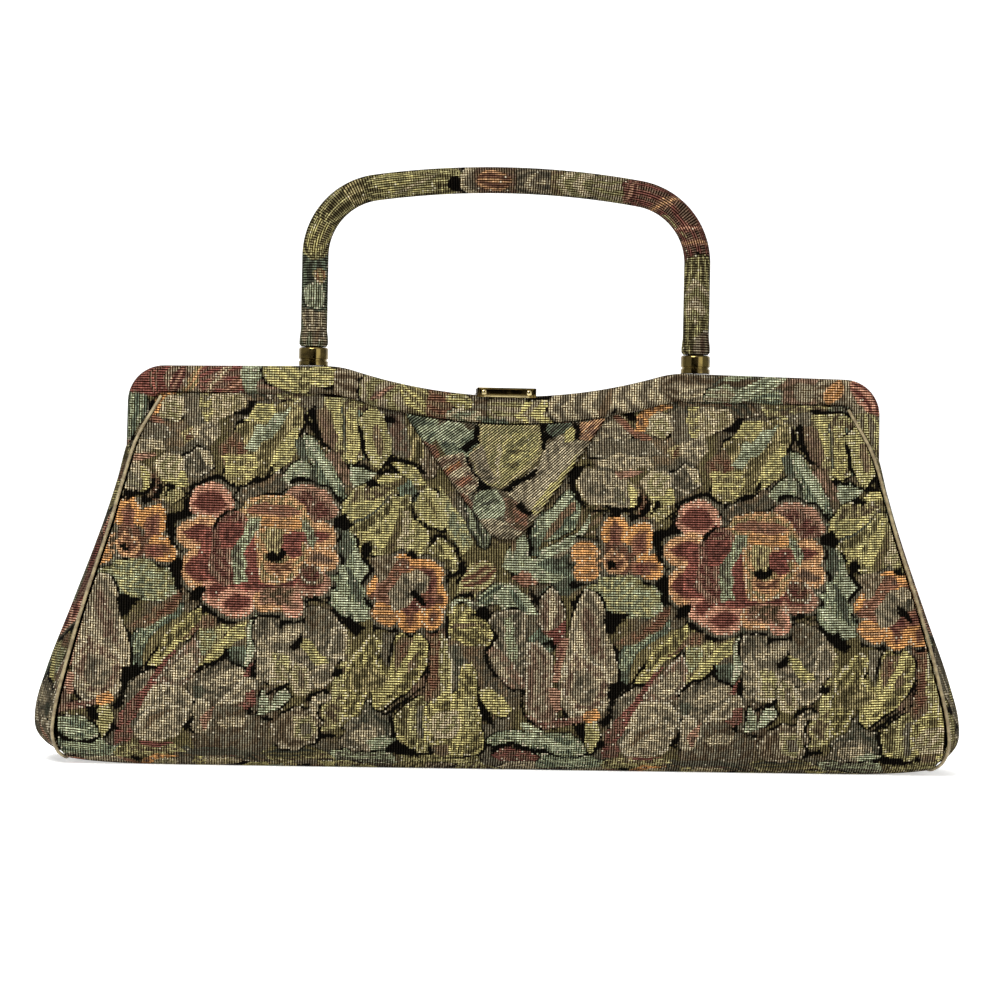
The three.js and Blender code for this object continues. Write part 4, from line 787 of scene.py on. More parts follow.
# Dark pointed gaps between the motifs
GAPS = read_outlines("""
-9 116, -10 124, -7 130, -6.5 118
8 110, 9 120, 12 123, 12 114
20 135, 26 138, 24 135
-22 136, -16 142, -18 136
46 139.5, 51 140, 51.5 136.5, 48 135
26.5 117, 31 117.3, 36 119, 31.5 115.8, 28 112, 30 105.5, 34 101, 30 103.5, 26 110
37 101.3, 44 101.3, 50.5 101, 53 106, 53.3 110, 54.3 104, 51 98.5, 42 99
-92 81, -89 82, -87.5 81, -86 83.5, -84.5 81, -86 78, -90 77.5
-113.5 88, -111.5 93, -107 97, -102 99.5, -107 98.3, -112 95
-36 68, -33.5 67, -31 65, -29.5 63.5, -31 62, -34 64, -36 65
-149 83.5, -146 83.5, -144.5 80.5, -148 79.8
-110 132, -106 135, -100 134.5, -97 141, -100 141, -103 137.5, -108 134
-106 102, -104.5 107, -100 109.8, -93 112, -89 118, -90.5 112.5, -95 109.5, -103 107
-76.5 137, -73 139, -73.5 133, -70 125, -65 120, -71.5 124, -75.5 131
-62 117.5, -55 117, -50 114.5, -43 115.5, -49 113, -56 115.5
-47.5 134.5, -44 136, -41.5 132.5, -45 132
-45 120, -38 119.8, -32 117, -29 112, -34 115.8, -40 118
-54.5 110.5, -51 111, -47 109, -54 107.5
-65 95, -62 98, -60.5 94, -57.5 92, -60 89.5, -66 91
-67 92, -60 94, -58 91, -63 90
-54 84, -51 85.5, -50 82, -52 79.5, -50 75, -51 73, -53.5 77
-37.5 82, -34 84, -32 80, -36 78.5
-31.5 108, -34.5 103, -33.5 96.5, -28 93.5, -24 90.5, -29 92.5, -35 96, -35.5 104
-28 84, -26.5 89.5, -22 90.5, -19.5 87, -16 81, -14 77.5, -17 72, -19.5 68.5, -17.5 74, -17 79, -20 85,
  -22.5 88.7, -25.5 88.5
-18.5 63.5, -15 67.3, -11 68, -7 64.5, -11 66, -15 65.3
-53.5 65, -50 62.5, -49.5 60, -52 62
-63 55, -58.5 57.5, -53 53, -56 49.5, -60 52
-124 105, -119 110, -112 111.5, -112 109, -119 108, -123 103.5
-132 95.5, -126 97.5, -123 103, -121.5 96.5, -127 93.5, -128 87, -126 84, -129 84, -131.5 90
-139 101, -136 105, -134.5 111, -133.5 105, -135.5 101
-151 101, -146 104, -143.5 102, -148 100
-133 103, -131 108.5, -127.5 107.5, -130.5 105
-130.5 77, -127 80, -125 78.5, -126 70, -124.5 65, -127.5 67, -128.5 73
-122 62.5, -119.5 68, -115.5 67.5, -117 62
-151 62.7, -141 63, -146 55.5, -149 56
8 95, 10 97.5, 11 93, 12.5 82, 10.5 82, 9.5 90
26 72, 29 74, 31.5 71, 28 69.5
27 65, 29.5 67, 30 62.5, 28 62
11 69, 15 66.5, 14.5 62.5, 12 64.5
27 114, 27 108.5, 30 105, 33.5 100, 45 98.8, 34.5 98.6, 29 103.5, 26 108
40.5 59.5, 50.5 60.5, 45 52.5, 42 53
45 30, 52 34, 50 31, 47 28.5, 44.5 26
15 47, 19 47, 20 44, 22.5 46, 20 49.5
28 16, 33 16, 33.5 11, 31 10.5
40 11, 42.5 8, 38 4.5, 36.5 5.5
39 17, 42 20.5, 45 23, 43.5 18, 41 15
8 32, 9.3 24, 12 19, 18 15, 24 14.2, 17 14.2, 11 18, 8 24
-4 6.5, 0 7.7, 6 10, 14 6.7, 22 5, 33 3, 22 3.2, 13 4.6, 5 8, -2 5
-149 35, -142.5 37.2, -140.3 34.8, -144 31.5, -147 25, -149 21.5, -147.5 29
-121.5 31.5, -118 35.5, -112 38, -108 40.5, -106.5 45.3, -105.5 45.3, -105.8 39, -109 37.5, -114 36.2,
  -118.5 34
-124.5 11.5, -121 15, -119.8 19, -119.4 15, -120.5 11.8, -117.5 9, -121 10
-98.5 36, -96.2 37.7, -95.4 32, -97.7 31.5
-100 19.5, -97.5 21.5, -96.5 18, -98.5 17.8
-94.5 16.5, -90.5 17.8, -88 16.5, -91 15.3
-91.5 26, -91 27.8, -86 29.3, -83.5 30.3, -82.5 27, -80 24.7, -81.5 23.3, -84 28, -87 27.8
-76 22.5, -73.5 27.5, -70 28.4, -66.5 27.5, -65 25, -67 25.8, -70 27, -72 25.8, -74 23
-84 45, -80.5 47, -79 50, -78 45, -81 42.5
-66 33, -65.5 36.7, -63.5 35.7, -61.3 35.5, -63.5 32.2
-70.8 14.8, -69.2 11.3, -65 11.8, -63.5 9.3, -68.5 9, -71 12
-45 19.5, -40.5 20, -36 24.5, -30.5 31, -36 26.5, -41 22.5
-43.5 19, -41 19.5, -40.8 11, -42 11
-29.5 44, -28 41, -28 35, -31 29.5, -29.6 35, -29.2 40
-45 6, -40 9, -35 7, -31 3, -26 3, -33 1, -39 2.5
-10 29.5, -7 25, -1 14.5, -4.5 16, -8.5 22
-6 47, -4 46, -3.5 40, 3 32, -2 35.5, -5.5 40
-12 58.5, -8 62.5, -3 58.5, -6 56
-78 64.5, -72 65, -67 61.5, -73 62.5
""")

MAIN_CHART = (MOTIFS, GAPS)

# Motifs and gaps of the tab, which is cut on the bias from another part of the cloth
FLAP_MOTIFS = read_chart("""
left side:
sage teal 45 none | -42 139, -26 135, -25 128, -30 123, -36 127
sage teal 45 none | -26 128, -14 131, -9 132, -9 126, -14 121, -22 119
mist sage 20 none | -26 131, -23 134.5, -16 134, -13.5 130, -17 127, -24 126.8
rust mauve 30 none | -37 128, -31 127, -26 124, -24.5 120, -29 117
mauve rust 45 none | -23 110, -14 105.5, -11 101, -12 93, -17 98
pale mauve 30 none | -29 117, -22 120.8, -16 122.5, -13 119, -10 113, -10.5 108, -14 105, -24 109
rust orange 40 none | -24 114.5, -18 119.5, -16.5 117.5, -22.5 112.5
rust mauve 40 none | -19 109.5, -13.5 113.5, -12.5 111, -16 107.5
right side:
pale taupe 45 none | 2 106.5, 9 113, 14 118, 16 124, 22 128.5, 30 128, 38 130, 25 112, 12 95, 8 100
bright pale 45 none | 11 101, 24 115, 29 122, 27.5 117, 13 98
teal slate 45 none | 16 134, 26 134, 25 130, 21 128, 16.5 129
bright olive 45 none | 24 131, 27 132.5, 28 127.5, 24 126
peach salmon 20 none | 29 127.5, 29 134, 41 137, 40 131, 35 127
middle leaf:
gold olive 45 none | -10.5 134, 14 134, 15.7 128, 15 122.5, 11.7 117, 4.7 111.5, -0.8 108, -5.5 109,
  -9.5 113, -13.3 122.5, -10.2 125
taupe violet 45 none | -13 122, -8 125.5, -6 120, -2 112, -5.5 109.5, -9 113
bright olive 30 none | 0 126, 4 130.5, 14 130, 13 123, 9 117, 1 111.5, -1 116
dusk slate 20 none | 1 123, 6 124.5, 9.5 123.5, 5 121.8
dusk slate 20 none | 0.5 117.5, 5 119, 8 118, 4 116.5
pale bright 90 none | -2.4 127, -0.6 126, -1 110, -2.2 111
tip:
pale taupe 45 none | -10 96, -3 95.5, 3 94, 8 93, 5 86, -4 86
mauve umber 45 none | 0.5 105, 6 103, 10.5 97, 8 92, 4 92, 0.5 96
rust mauve 60 none | 4 101.5, 10 98.5, 9 94.5, 5 95
mist sage 40 none | -11.5 105, -8 107, -2 107.3, 1 104, 0.5 99, -3 95.5, -8 95.8, -11 99.5
slate teal 40 none | -9 100, -4 103.5, -1 104.2, -5 101
""")

FLAP_GAPS = read_outlines("""
14 116.5, 9 113.2, 3 109.6, 0.6 107.6, 3.5 106.6, 6 109.2, 10 111.2, 13.5 113.4
-13.8 122.5, -12.2 117, -9.4 111.8, -4.6 108.7, -4.4 107, -9 106.8, -12 105.4, -11.2 108.8, -10.6 111.5,
  -13.2 116.5, -14.6 120.5
-12 133.4, -9.8 133.2, -9 130, -9.8 125.4, -14 123, -19 123.8, -15.5 125.6, -11.5 127.2
13.3 134, 17 134, 16.2 130.5, 20.4 128.6, 17.2 127.2, 16.2 123, 14.6 123.8, 14.9 129
25.8 134, 29.3 133.5, 30 127.6, 27.3 127, 27.5 131
6.6 104.6, 9.5 101.4, 12.4 99.8, 11 97.4, 8 99.6, 5.2 102.6
""")

# Motifs along the frame: places along it from the middle, and outwards from the middle of its face
FRAME_MOTIFS = read_chart("""
left arm:
oval -186 0 -160 0 9 0 0 taupe pale veins none
oval -174 1 -156 0 8 0 0 mauve taupe veins none
leaf -162 4 -138 -1 6.4 2 0 sage teal veins thin
oval -154 -5 -146 -5 1.6 0 0 black black plain none
left corner:
oval -145 0 -126 0 11 0 0 wine rose veins none
leaf -141 -5 -134 6 1.6 0 0 rose mauve veins none
oval -133 0 -114 0 10 0 0 taupe mauve veins none
leaf -131 -6 -126 7 1.9 0 0 salmon wine veins none
leaf -126 -6 -119 7 2 0 0 peach gold veins none
oval -121 0 -97 0 11 0 0 wine mauve veins none
leaf -118 -5 -107 7 2 0 0 pale salmon veins none
leaf -111 -6 -99 3 2.2 0 0 salmon rust veins none
oval -104 1 -94 1 8 0 0 mist sage veins none
oval -98 -3 -87 -4 4 0 0 mauve taupe veins none
olive leaves:
leaf -95 7 -78 -4 6 0 0 bright olive veins bold
oval -82 0 -76 0 7 0 0 olive dusk veins none
oval -78 2 -66 1 4.6 0 0 bright olive veins bold
oval -68 0 -55 0 9 0 0 taupe umber veins thin
left of the clasp:
leaf -59 2 -36 -1 8 0 0 taupe olive feather bold
blade -53 -4 -44 5 1.6 0 0 salmon mauve veins none
leaf -42 6 -28 -5 5 0 0 bright gold veins none
oval -32 0 -21 0 9 0 0 umber rust veins none
oval -15 1 -3 0 9 0 0 violet umber veins none
oval -24 3.6 -13 2.6 3 0 0 bright olive veins bold
oval -23 -3 -9 -4 3.4 0 0 pale sage feather bold
under the clasp:
oval -7 1 8 0 7 0 0 taupe olive veins thin
oval -9 -5 1 -5 2 0 0 teal slate veins none
oval 3 -2 21 -1 5.2 0 0 bright pale feather bold
right of the clasp:
oval 16 0 43 0 10 0 0 pale taupe feather bold
oval 42 0 70 0 10 0 0 pale taupe feather none
blade 36 -7 44 7 2 0 0 umber taupe plain none
oval 61 1 82 1 9 0 0 taupe umber veins none
oval 68 -3 80 -2 4 0 0 pale taupe veins none
oval 72 5 84 4 3 0 0 violet umber veins bold
grey leaves:
oval 81 0 116 0 11 0 0 slate umber veins none
leaf 78 -3 97 -3 4 0 0 sage pale veins bold
leaf 89 -5 111 6 3.2 0 0 mist sage veins thin
blade 86 3 100 7 1.6 0 0 sage teal plain none
oval 98 -4 111 -2 3.2 0 0 sage teal veins none
right corner:
oval 109 0 128 0 11 0 0 mauve umber veins none
oval 114 -1 122 0 4 0 0 taupe pale feather none
oval 122 0 138 0 11 0 0 taupe umber veins none
leaf 126 -5 132 5 3 0 0 peach orange veins none
oval 133 0 150 0 11 0 0 taupe pale veins none
oval 135 3 147 3 4.4 0 0 pink rose veins none
oval 146 0 164 0 11 0 0 olive taupe veins bold
oval 158 0 186 0 11 0 0 gold umber veins thin
""")

# Motifs along the handle: places along it from the top, and outwards from the middle of its front
HANDLE_MOTIFS = read_chart("""
left leg:
oval -130 0 -110 0 11 0 0 taupe sage veins none
oval -125 -1 -118 -1 3 0 0 umber taupe veins bold
oval -121 2 -111 1 5 0 0 pale taupe veins none
oval -113 0 -88 0 11 0 0 teal slate veins none
leaf -112 1 -100 -1 5 0 0 mist sage veins bold
oval -102 -2 -96 -2 3 0 0 gold peach veins bold
left corner:
oval -92 0 -68 0 11 0 0 olive dusk veins none
leaf -90 2 -72 -3 5 0 0 bright gold veins thin
oval -77 0 -58 0 11 0 0 olive dusk veins none
oval -65 -1 -54 1 8 0 0 gold dusk veins bold
left of the top:
oval -58 0 -18 0 12 0 0 olive dusk veins none
leaf -54 3 -28 -3 5 0 0 bright olive veins bold
leaf -46 -4 -26 3 2.2 0 0 pale olive veins none
oval -24 0 -17 -3 3.2 0 0 black black plain none
oval -19 0 -6 0 8 0 0 pale taupe rim bold
top:
oval -14 0 5 0 10 0 0 umber mauve veins none
oval -13 0 0 -1 4.6 0 0 peach rust veins none
oval 2 0 21 0 11 0 0 taupe violet veins none
oval 5 -2 14 0 4 0 0 pale taupe feather none
oval 16 0 23 0 10 0 0 umber gold veins none
oval 19 0 36 0 7 0 0 pale olive feather thin
oval 33 0 52 0 10 0 0 taupe olive veins none
rose:
oval 45 0 93 0 13 0 0 wine mauve veins thin
leaf 46 -7 51 7 2.2 0 0 salmon wine veins none
leaf 58 -8 66 7 1.9 0 0 peach salmon veins none
leaf 64 -5 80 -3 1.8 0 0 olive salmon veins none
leaf 73 -8 79 8 1.6 0 0 pink wine veins none
leaf 81 -8 84 7 1.5 0 0 peach pink veins none
leaf 89 -7 91 7 1.6 0 0 salmon wine veins none
right leg:
oval 88 0 132 0 13 0 0 olive dusk veins bold
leaf 98 0 116 -1 5.5 0 0 pale olive feather none
oval 118 4 131 3 5 0 0 taupe mauve veins bold
""")

# The cells near a motif, their places along and across it, its half width there and their depth inside it
Field = namedtuple("Field", "motif near along across width depth")


def smoothstep(value, low, high):
    share = np.clip((value - low) / (high - low), 0, 1)
    return share * share * (3 - 2 * share)


def hashed(a, b, seed):
    """Repeatable noise from 0 to 1 for whole-number cells."""
    value = np.sin(a * HASH_STEPS[0] + b * HASH_STEPS[1] + seed * HASH_STEPS[2]) * HASH_SCALE
    return value - np.floor(value)


def smooth_noise(a, b, seed, wrap=None):
    """Noise from 0 to 1 that comes back, if wrap is given, after so many cells across and up."""
    i = np.floor(a)
    j = np.floor(b)
    f = smoothstep(a - i, 0, 1)
    g = smoothstep(b - j, 0, 1)

    def corner(across, up):
        if wrap is None:
            return hashed(i + across, j + up, seed)
        return hashed((i + across) % wrap[0], (j + up) % wrap[1], seed)

    low = corner(0, 0) * (1 - f) + corner(1, 0) * f
    high = corner(0, 1) * (1 - f) + corner(1, 1) * f
    return low * (1 - g) + high * g


def repeat_noise(px, pz, cells, seed):
    """Smooth noise that comes back with the chart's repeat."""
    a = px / REPEAT_X * cells[0]
    b = (pz + px / REPEAT_X * REPEAT_FALL) / REPEAT_Z * cells[1]
    return smooth_noise(a, b, seed, cells)


def near_cells(px, pz, middle, reach, repeats):
    """The cells within reach of a motif's middle, or of the middle of a copy, and their offsets from it."""
    dx = px - middle[0]
    dz = pz - middle[1]
    if repeats:
        turns = np.round(dx / REPEAT_X)
        dx = dx - turns * REPEAT_X
        dz = dz + turns * REPEAT_FALL
        dz = dz - np.round(dz / REPEAT_Z) * REPEAT_Z
    near = np.flatnonzero((np.abs(dx) < reach[0]) & (np.abs(dz) < reach[1]))
    return near, dx[near], dz[near]


def outline_depth(outline, dx, dz):
    """Distance to an outline, above 0 inside it."""
    distance = np.full(dx.shape, np.inf)
    inside = np.zeros(dx.shape, bool)
    for (x0, z0), (x1, z1) in zip(outline, np.roll(outline, -1, axis=0)):
        run_x = x1 - x0
        run_z = z1 - z0
        share = np.clip(((dx - x0) * run_x + (dz - z0) * run_z) / (run_x ** 2 + run_z ** 2), 0, 1)
        distance = np.minimum(distance, np.hypot(dx - x0 - share * run_x, dz - z0 - share * run_z))
        if run_z:
            crosses = (z0 > dz) != (z1 > dz)
            inside ^= crosses & (dx < x0 + run_x * (dz - z0) / run_z)
    return np.where(inside, distance, -distance)


def outline_cells(outline, px, pz, repeats):
    """The cells near an outline, their offsets from its middle and their depth inside it."""
    middle = (outline.min(axis=0) + outline.max(axis=0)) / 2
    reach = (outline.max(axis=0) - outline.min(axis=0)) / 2 + PATCH_MARGIN
    near, dx, dz = near_cells(px, pz, middle, reach, repeats)
    return near, dx, dz, outline_depth(outline - middle, dx, dz)


def patch_field(motif, px, pz, repeats):
    """The field of a motif that is given by its outline."""
    near, dx, dz, depth = outline_cells(motif["outline"], px, pz, repeats)
    grain = np.radians(motif["grain"])
    along = dx * np.cos(grain) + dz * np.sin(grain)
    across = dz * np.cos(grain) - dx * np.sin(grain)
    return Field(motif, near, along, across, None, depth)


def drawn_width(motif, t):
    """Half width of a drawn motif at a share of its length."""
    t = np.clip(t, 0, 1)
    a, b = FORMS[motif["form"]]
    peak = (a / (a + b)) ** a * (b / (a + b)) ** b
    width = motif["half"] * t ** a * (1 - t) ** b / peak
    if motif["lobes"]:
        width = width * (1 - LOBE_DEPTH * (1 + np.cos(2 * np.pi * (motif["lobes"] + 0.5) * t)))
    return width


def drawn_field(motif, px, pz, repeats):
    """The field of a motif that is drawn from its base to its tip."""
    run_x = motif["x1"] - motif["x0"]
    run_z = motif["z1"] - motif["z0"]
    run = np.hypot(run_x, run_z)
    middle = (motif["x0"] + run_x / 2, motif["z0"] + run_z / 2)
    reach = run / 2 + motif["half"] + abs(motif["bend"]) + PATCH_MARGIN
    near, dx, dz = near_cells(px, pz, middle, (reach, reach), repeats)
    along = (dx * run_x + dz * run_z) / run + run / 2
    t = along / run
    inside = np.clip(t, 0, 1)
    across = (dz * run_x - dx * run_z) / run - motif["bend"] * 4 * inside * (1 - inside)
    width = drawn_width(motif, t)
    slope = (drawn_width(motif, t + SLOPE_STEP) - drawn_width(motif, t - SLOPE_STEP)) / (2 * SLOPE_STEP * run)
    depth = (width - np.abs(across)) / np.sqrt(1 + np.clip(slope, -SLOPE_LIMIT, SLOPE_LIMIT) ** 2)
    past = np.maximum(-along, along - run)
    depth = np.where(past > 0, -np.hypot(past, across), depth)
    return Field(motif, near, along, across, width, depth)


def motif_field(motif, px, pz, repeats):
    field = patch_field if "outline" in motif else drawn_field
    return field(motif, px, pz, repeats)


def wave(turns):
    return np.cos(2 * np.pi * turns)


def patch_score(field):
    """Light lines along a patch's outline and middle, and slanting veins between them."""
    contour = PATCH_CONTOUR_STRENGTH * wave(field.depth / PATCH_CONTOUR)
    barbs = PATCH_BARB_STRENGTH * wave((field.along - PATCH_LEAN * np.abs(field.across)) / PATCH_BARB)
    rib = PATCH_RIB_STRENGTH * (np.abs(field.across) < PATCH_RIB)
    return contour + barbs + rib + PATCH_LIGHT


def drawn_score(field):
    """A drawn motif's light side, rim, veins or feathering; a plain one is light all over."""
    shade = field.motif["shade"]
    share = field.across / np.maximum(field.width, THINNEST)
    if shade == "left":
        return SIDE_STRENGTH * share
    if shade == "rim":
        return RIM_STRENGTH * (RIM - field.depth) / RIM
    if shade == "veins":
        return VEIN_STRENGTH * wave(share * (VEIN_START + field.motif["half"] / VEIN_SPACE))
    if shade == "feather":
        return FEATHER_STRENGTH * wave(field.along / FEATHER_SPACE - FEATHER_LEAN * np.abs(share))
    return np.ones(share.shape)


def light_score(field, seed):
    """Above 0 where a motif shows its light thread, below 0 where it shows its dark one."""
    score = patch_score(field) if "outline" in field.motif else drawn_score(field)
    streaks = smooth_noise(field.along / STREAK_CELL[0], field.across / STREAK_CELL[1], seed)
    spots = smooth_noise(field.along / SPOT_CELL[0], field.across / SPOT_CELL[1], seed + SPOT_SEED)
    return score + STREAK * (STREAK_SHARE * streaks + SPOT_SHARE * spots - 0.5)


def bent_places(px, pz):
    """The cells' places, pushed about a little so that no outline is quite straight."""
    bent = [px, pz]
    for turn, (cells, reach) in enumerate(WOBBLES):
        for axis, seed in enumerate(WOBBLE_SEEDS):
            bent[axis] = bent[axis] + 2 * reach * (repeat_noise(px, pz, cells, seed + turn) - 0.5)
    return bent


def paint(px, pz, col, row, chart, seed, repeats=True):
    """Thread colour, share of picks and metal glints of cloth cells, whose numbers are col and row.

    The chart is a pair of motif groups and gaps, and px and pz are the cells' places in it."""
    groups, gaps = chart
    rgb = np.zeros((len(px), 3))
    picks = np.zeros(len(px))
    glint = np.zeros(len(px))
    grain = hashed(col, row, seed) - 0.5
    speck = hashed(col, row, seed + CELL_SEEDS["speck"])
    slope, start, limit = BREAK_RANGE
    broken = np.clip(slope * repeat_noise(px, pz, BREAK_CELLS, BREAK_SEED) + start, 0, limit)
    bent = bent_places(px, pz)

    def lay(cells, first, second=None, level=1.0):
        threads = np.array(THREADS[first], float)
        if second is not None:
            threads = (threads + np.array(THREADS[second], float)) / 2
        rgb[cells] = threads[:3] * level
        picks[cells] = threads[3]
        glint[cells] = 0

    def lay_body(field, noise_seed):
        light, dark, edge = (field.motif[name] for name in ("light", "dark", "edge"))
        score = light_score(field, noise_seed) + DITHER * grain[field.near]
        body = field.depth > 0
        lay(field.near[body & (score < -TONE_STEP)], dark, level=DARKER)
        lay(field.near[body & (np.abs(score) <= TONE_STEP)], light, dark)
        lay(field.near[body & (score > TONE_STEP)], light, level=LIGHTER)
        _, _, metal = EDGES[edge]
        glint[field.near[body & (field.depth < GLINT_BAND) & (speck[field.near] < metal)]] = 1

    lay(np.arange(len(px)), "ground")
    shadow = repeat_noise(px, pz, SHADOW_CELLS, SHADOW_SEED) + SHADOW_GRAIN * grain
    lay(np.flatnonzero(shadow > SHADOW_HIGH), "violet")
    lay(np.flatnonzero(shadow < SHADOW_LOW), "dusk")
    for number, group in enumerate(groups):
        fields = [motif_field(motif, *bent, repeats) for motif in group]
        for field in fields:
            halo, line, _ = EDGES[field.motif["edge"]]
            reach = halo + line * broken[field.near]
            lay(field.near[(field.depth > -reach) & (field.depth <= 0)], "black")
        for field in fields:
            halo, _, _ = EDGES[field.motif["edge"]]
            lay(field.near[(field.depth > -halo) & (field.depth <= 0)], "violet")
        for place, field in enumerate(fields):
            lay_body(field, GROUP_SEEDS * number + place)
    pairs = hashed(np.floor(col / 2), np.floor(row / 2), seed + CELL_SEEDS["picks"])
    picks[:] = np.clip(picks + PICK_SPREAD * (pairs - 0.5), 0, 1)
    for outline in gaps:
        near, _, _, depth = outline_cells(outline, *bent, repeats)
        lay(near[depth + GAP_FRAY * grain[near] > 0], "black")
    lowest, spread = CELL_SPREAD
    rgb *= (lowest + spread * hashed(col, row, seed + CELL_SEEDS["bright"]))[:, None]
    lowest, spread = RIB_SPREAD
    rgb *= (lowest + spread * hashed(np.floor(col / 2), 0, seed + CELL_SEEDS["rib"]))[:, None]
    bright = rgb.sum(axis=1) > GLINT_BRIGHT
    glint[bright & (hashed(col, row, seed + CELL_SEEDS["glint"]) < GLINT_FIELD)] = 1
    return rgb, picks, glint


# Shape of the bag


def run_lengths(points):
    """Lengths along a line of points, from its first one."""
    steps = np.linalg.norm(np.diff(points, axis=0), axis=1)
    return np.concatenate([[0], np.cumsum(steps)])


SEAM_DISTANCES = run_lengths(SEAM[:, [SEAM_COLUMNS.index(name) for name in ("half", "deep", "z")]])
SEAM_LENGTH = SEAM_DISTANCES[-1]


def seam_at(distance):
    """The seam table's values at distances below its top, through a smooth curve."""
    distance = np.asarray(distance, float)
    slopes = np.diff(SEAM, axis=0) / np.diff(SEAM_DISTANCES)[:, None]
    tangents = np.vstack([slopes[:1], (slopes[:-1] + slopes[1:]) / 2, slopes[-1:]])
    row = np.clip(np.searchsorted(SEAM_DISTANCES, distance, side="right") - 1, 0, len(SEAM) - 2)
    step = SEAM_DISTANCES[row + 1] - SEAM_DISTANCES[row]
    p = ((distance - SEAM_DISTANCES[row]) / step)[..., None]
    step = step[..., None]
    values = (
        (1 + 2 * p) * (1 - p) ** 2 * SEAM[row]
        + p * (1 - p) ** 2 * step * tangents[row]
        + p * p * (3 - 2 * p) * SEAM[row + 1]
        + p * p * (p - 1) * step * tangents[row + 1]
    )
    return {name: values[..., i] for i, name in enumerate(SEAM_COLUMNS)}


def frame_line(x, inset):
    """Height of the line a given inset inside the frame's top edge."""
    reach = np.abs(np.asarray(x, float))
    dip_reach = (DIP_RADIUS + inset) * math.sin(DIP_ANGLE)
    dip = DIP_CENTRE_Z - np.sqrt(np.maximum((DIP_RADIUS + inset) ** 2 - reach ** 2, 0))
    blend = BLEND_CENTRE_Z + np.sqrt(np.maximum((BLEND_RADIUS - inset) ** 2 - (reach - BLEND_X) ** 2, 0))
    flat = SHOULDER_Z - inset - SHOULDER_FALL * (reach - BLEND_X) / (CORNER_X - BLEND_X)
    return np.where(reach < dip_reach, dip, np.where(reach < BLEND_X, blend, flat))


def lift_at(z):
    """How much the cloth follows the frame at a height, from 0 to 1."""
    return smoothstep(z, LIFT_END_Z, SEAM_TOP_Z)


def panel_points(distance, x):
    """Points on the panel's outer face, distances down the seam, at places across."""
    seam = seam_at(distance)
    share = np.clip(np.abs(x) / (seam["half"] - SEAM_INSET), 0, 1)
    crease = frame_line(x, FRAME_BAND) - PANEL_TUCK
    middle = 1 - share ** BELLY_POWER
    low = 1 - share ** SAG_POWER
    level = seam["z"] + lift_at(seam["z"]) * (crease - SEAM_TOP_Z) - seam["sag"] * low
    upright = 1 - smoothstep(distance, SEAM_DISTANCES[CORNER_ROW], SEAM_DISTANCES[BASE_ROW])
    y = -(seam["deep"] + seam["belly"] * middle + SEAM_PROUD * upright)
    z = level - SEAM_PROUD * (1 - upright)
    return np.stack([np.broadcast_to(x, y.shape), y, z], axis=-1)


def gusset_edge(distance):
    """The gusset's half width and level: the seam in side view, moved inwards square to it."""
    before = seam_at(distance - GUSSET_SLOPE_STEP)
    after = seam_at(distance + GUSSET_SLOPE_STEP)
    deeper = after["deep"] - before["deep"]
    higher = after["z"] - before["z"]
    length = np.hypot(deeper, higher)
    seam = seam_at(distance)
    return seam["deep"] + SEAM_INSET * higher / length, seam["z"] - SEAM_INSET * deeper / length


def gusset_points(distance, y, side):
    """Points on a gusset's outer face, distances down the seam, at places through the bag."""
    seam = seam_at(distance)
    reach, level = gusset_edge(distance)
    power = GUSSET_POWER_LOW + (GUSSET_POWER_HIGH - GUSSET_POWER_LOW) * lift_at(seam["z"])
    share = np.clip(np.abs(y) / reach, 0, 1)
    x = seam["half"] + SEAM_PROUD + seam["bulge"] * (1 - share ** power)
    return np.stack([side * x, np.broadcast_to(y, x.shape), level], axis=-1)


# Columns of cloth cells


def cut_column(across, points, heights, cell):
    """One column of weave: its ends and the rows between them, as points on the cloth."""
    low, high = heights[0], heights[-1]
    rows = np.arange(math.ceil(low / cell + ROW_ROOM), math.floor(high / cell - ROW_ROOM) + 1)
    places = np.concatenate([[low], rows * cell, [high]])
    at = np.stack([np.interp(places, heights, points[:, k]) for k in range(3)], axis=-1)
    return {"across": across, "heights": places, "rows": np.concatenate([[-1], rows, [-1]]), "points": at}


def sparse_places(column):
    """Which points of a column the inner face has too: its ends, and the rows whose numbers are multiples."""
    return [i for i, row in enumerate(column["rows"]) if i == 0 or row < 0 or row % INNER_EVERY == 0]


def zip_strip(left, right):
    """Faces between two columns, each a list of (index, height)."""
    faces = []
    i = 0
    j = 0
    while i + 1 < len(left) or j + 1 < len(right):
        next_left = left[i + 1][1] if i + 1 < len(left) else math.inf
        next_right = right[j + 1][1] if j + 1 < len(right) else math.inf
        if abs(next_left - next_right) < SAME_HEIGHT:
            faces.append((left[i][0], right[j][0], right[j + 1][0], left[i + 1][0]))
            i += 1
            j += 1
        elif next_left < next_right:
            faces.append((left[i][0], right[j][0], left[i + 1][0]))
            i += 1
        else:
            faces.append((left[i][0], right[j][0], right[j + 1][0]))
            j += 1
    return faces


def zip_strips(lists, flipped):
    """Faces between neighbours in a list of columns, wound the other way if flipped."""
    faces = [face for left, right in zip(lists, lists[1:]) for face in zip_strip(left, right)]
    return [face[::-1] for face in faces] if flipped else faces


def point_normals(points, faces):
    """Directions out of the cloth at each point, for faces wound outwards."""
    normals = np.zeros_like(points)
    for size in (3, 4):
        group = np.array([face for face in faces if len(face) == size], int).reshape(-1, size)
        first = points[group[:, 0]]
        crossed = np.cross(points[group[:, 1]] - first, points[group[:, -1]] - first)
        for k in range(size):
            np.add.at(normals, group[:, k], crossed)
    return normals / np.maximum(np.linalg.norm(normals, axis=1), TINY)[:, None]


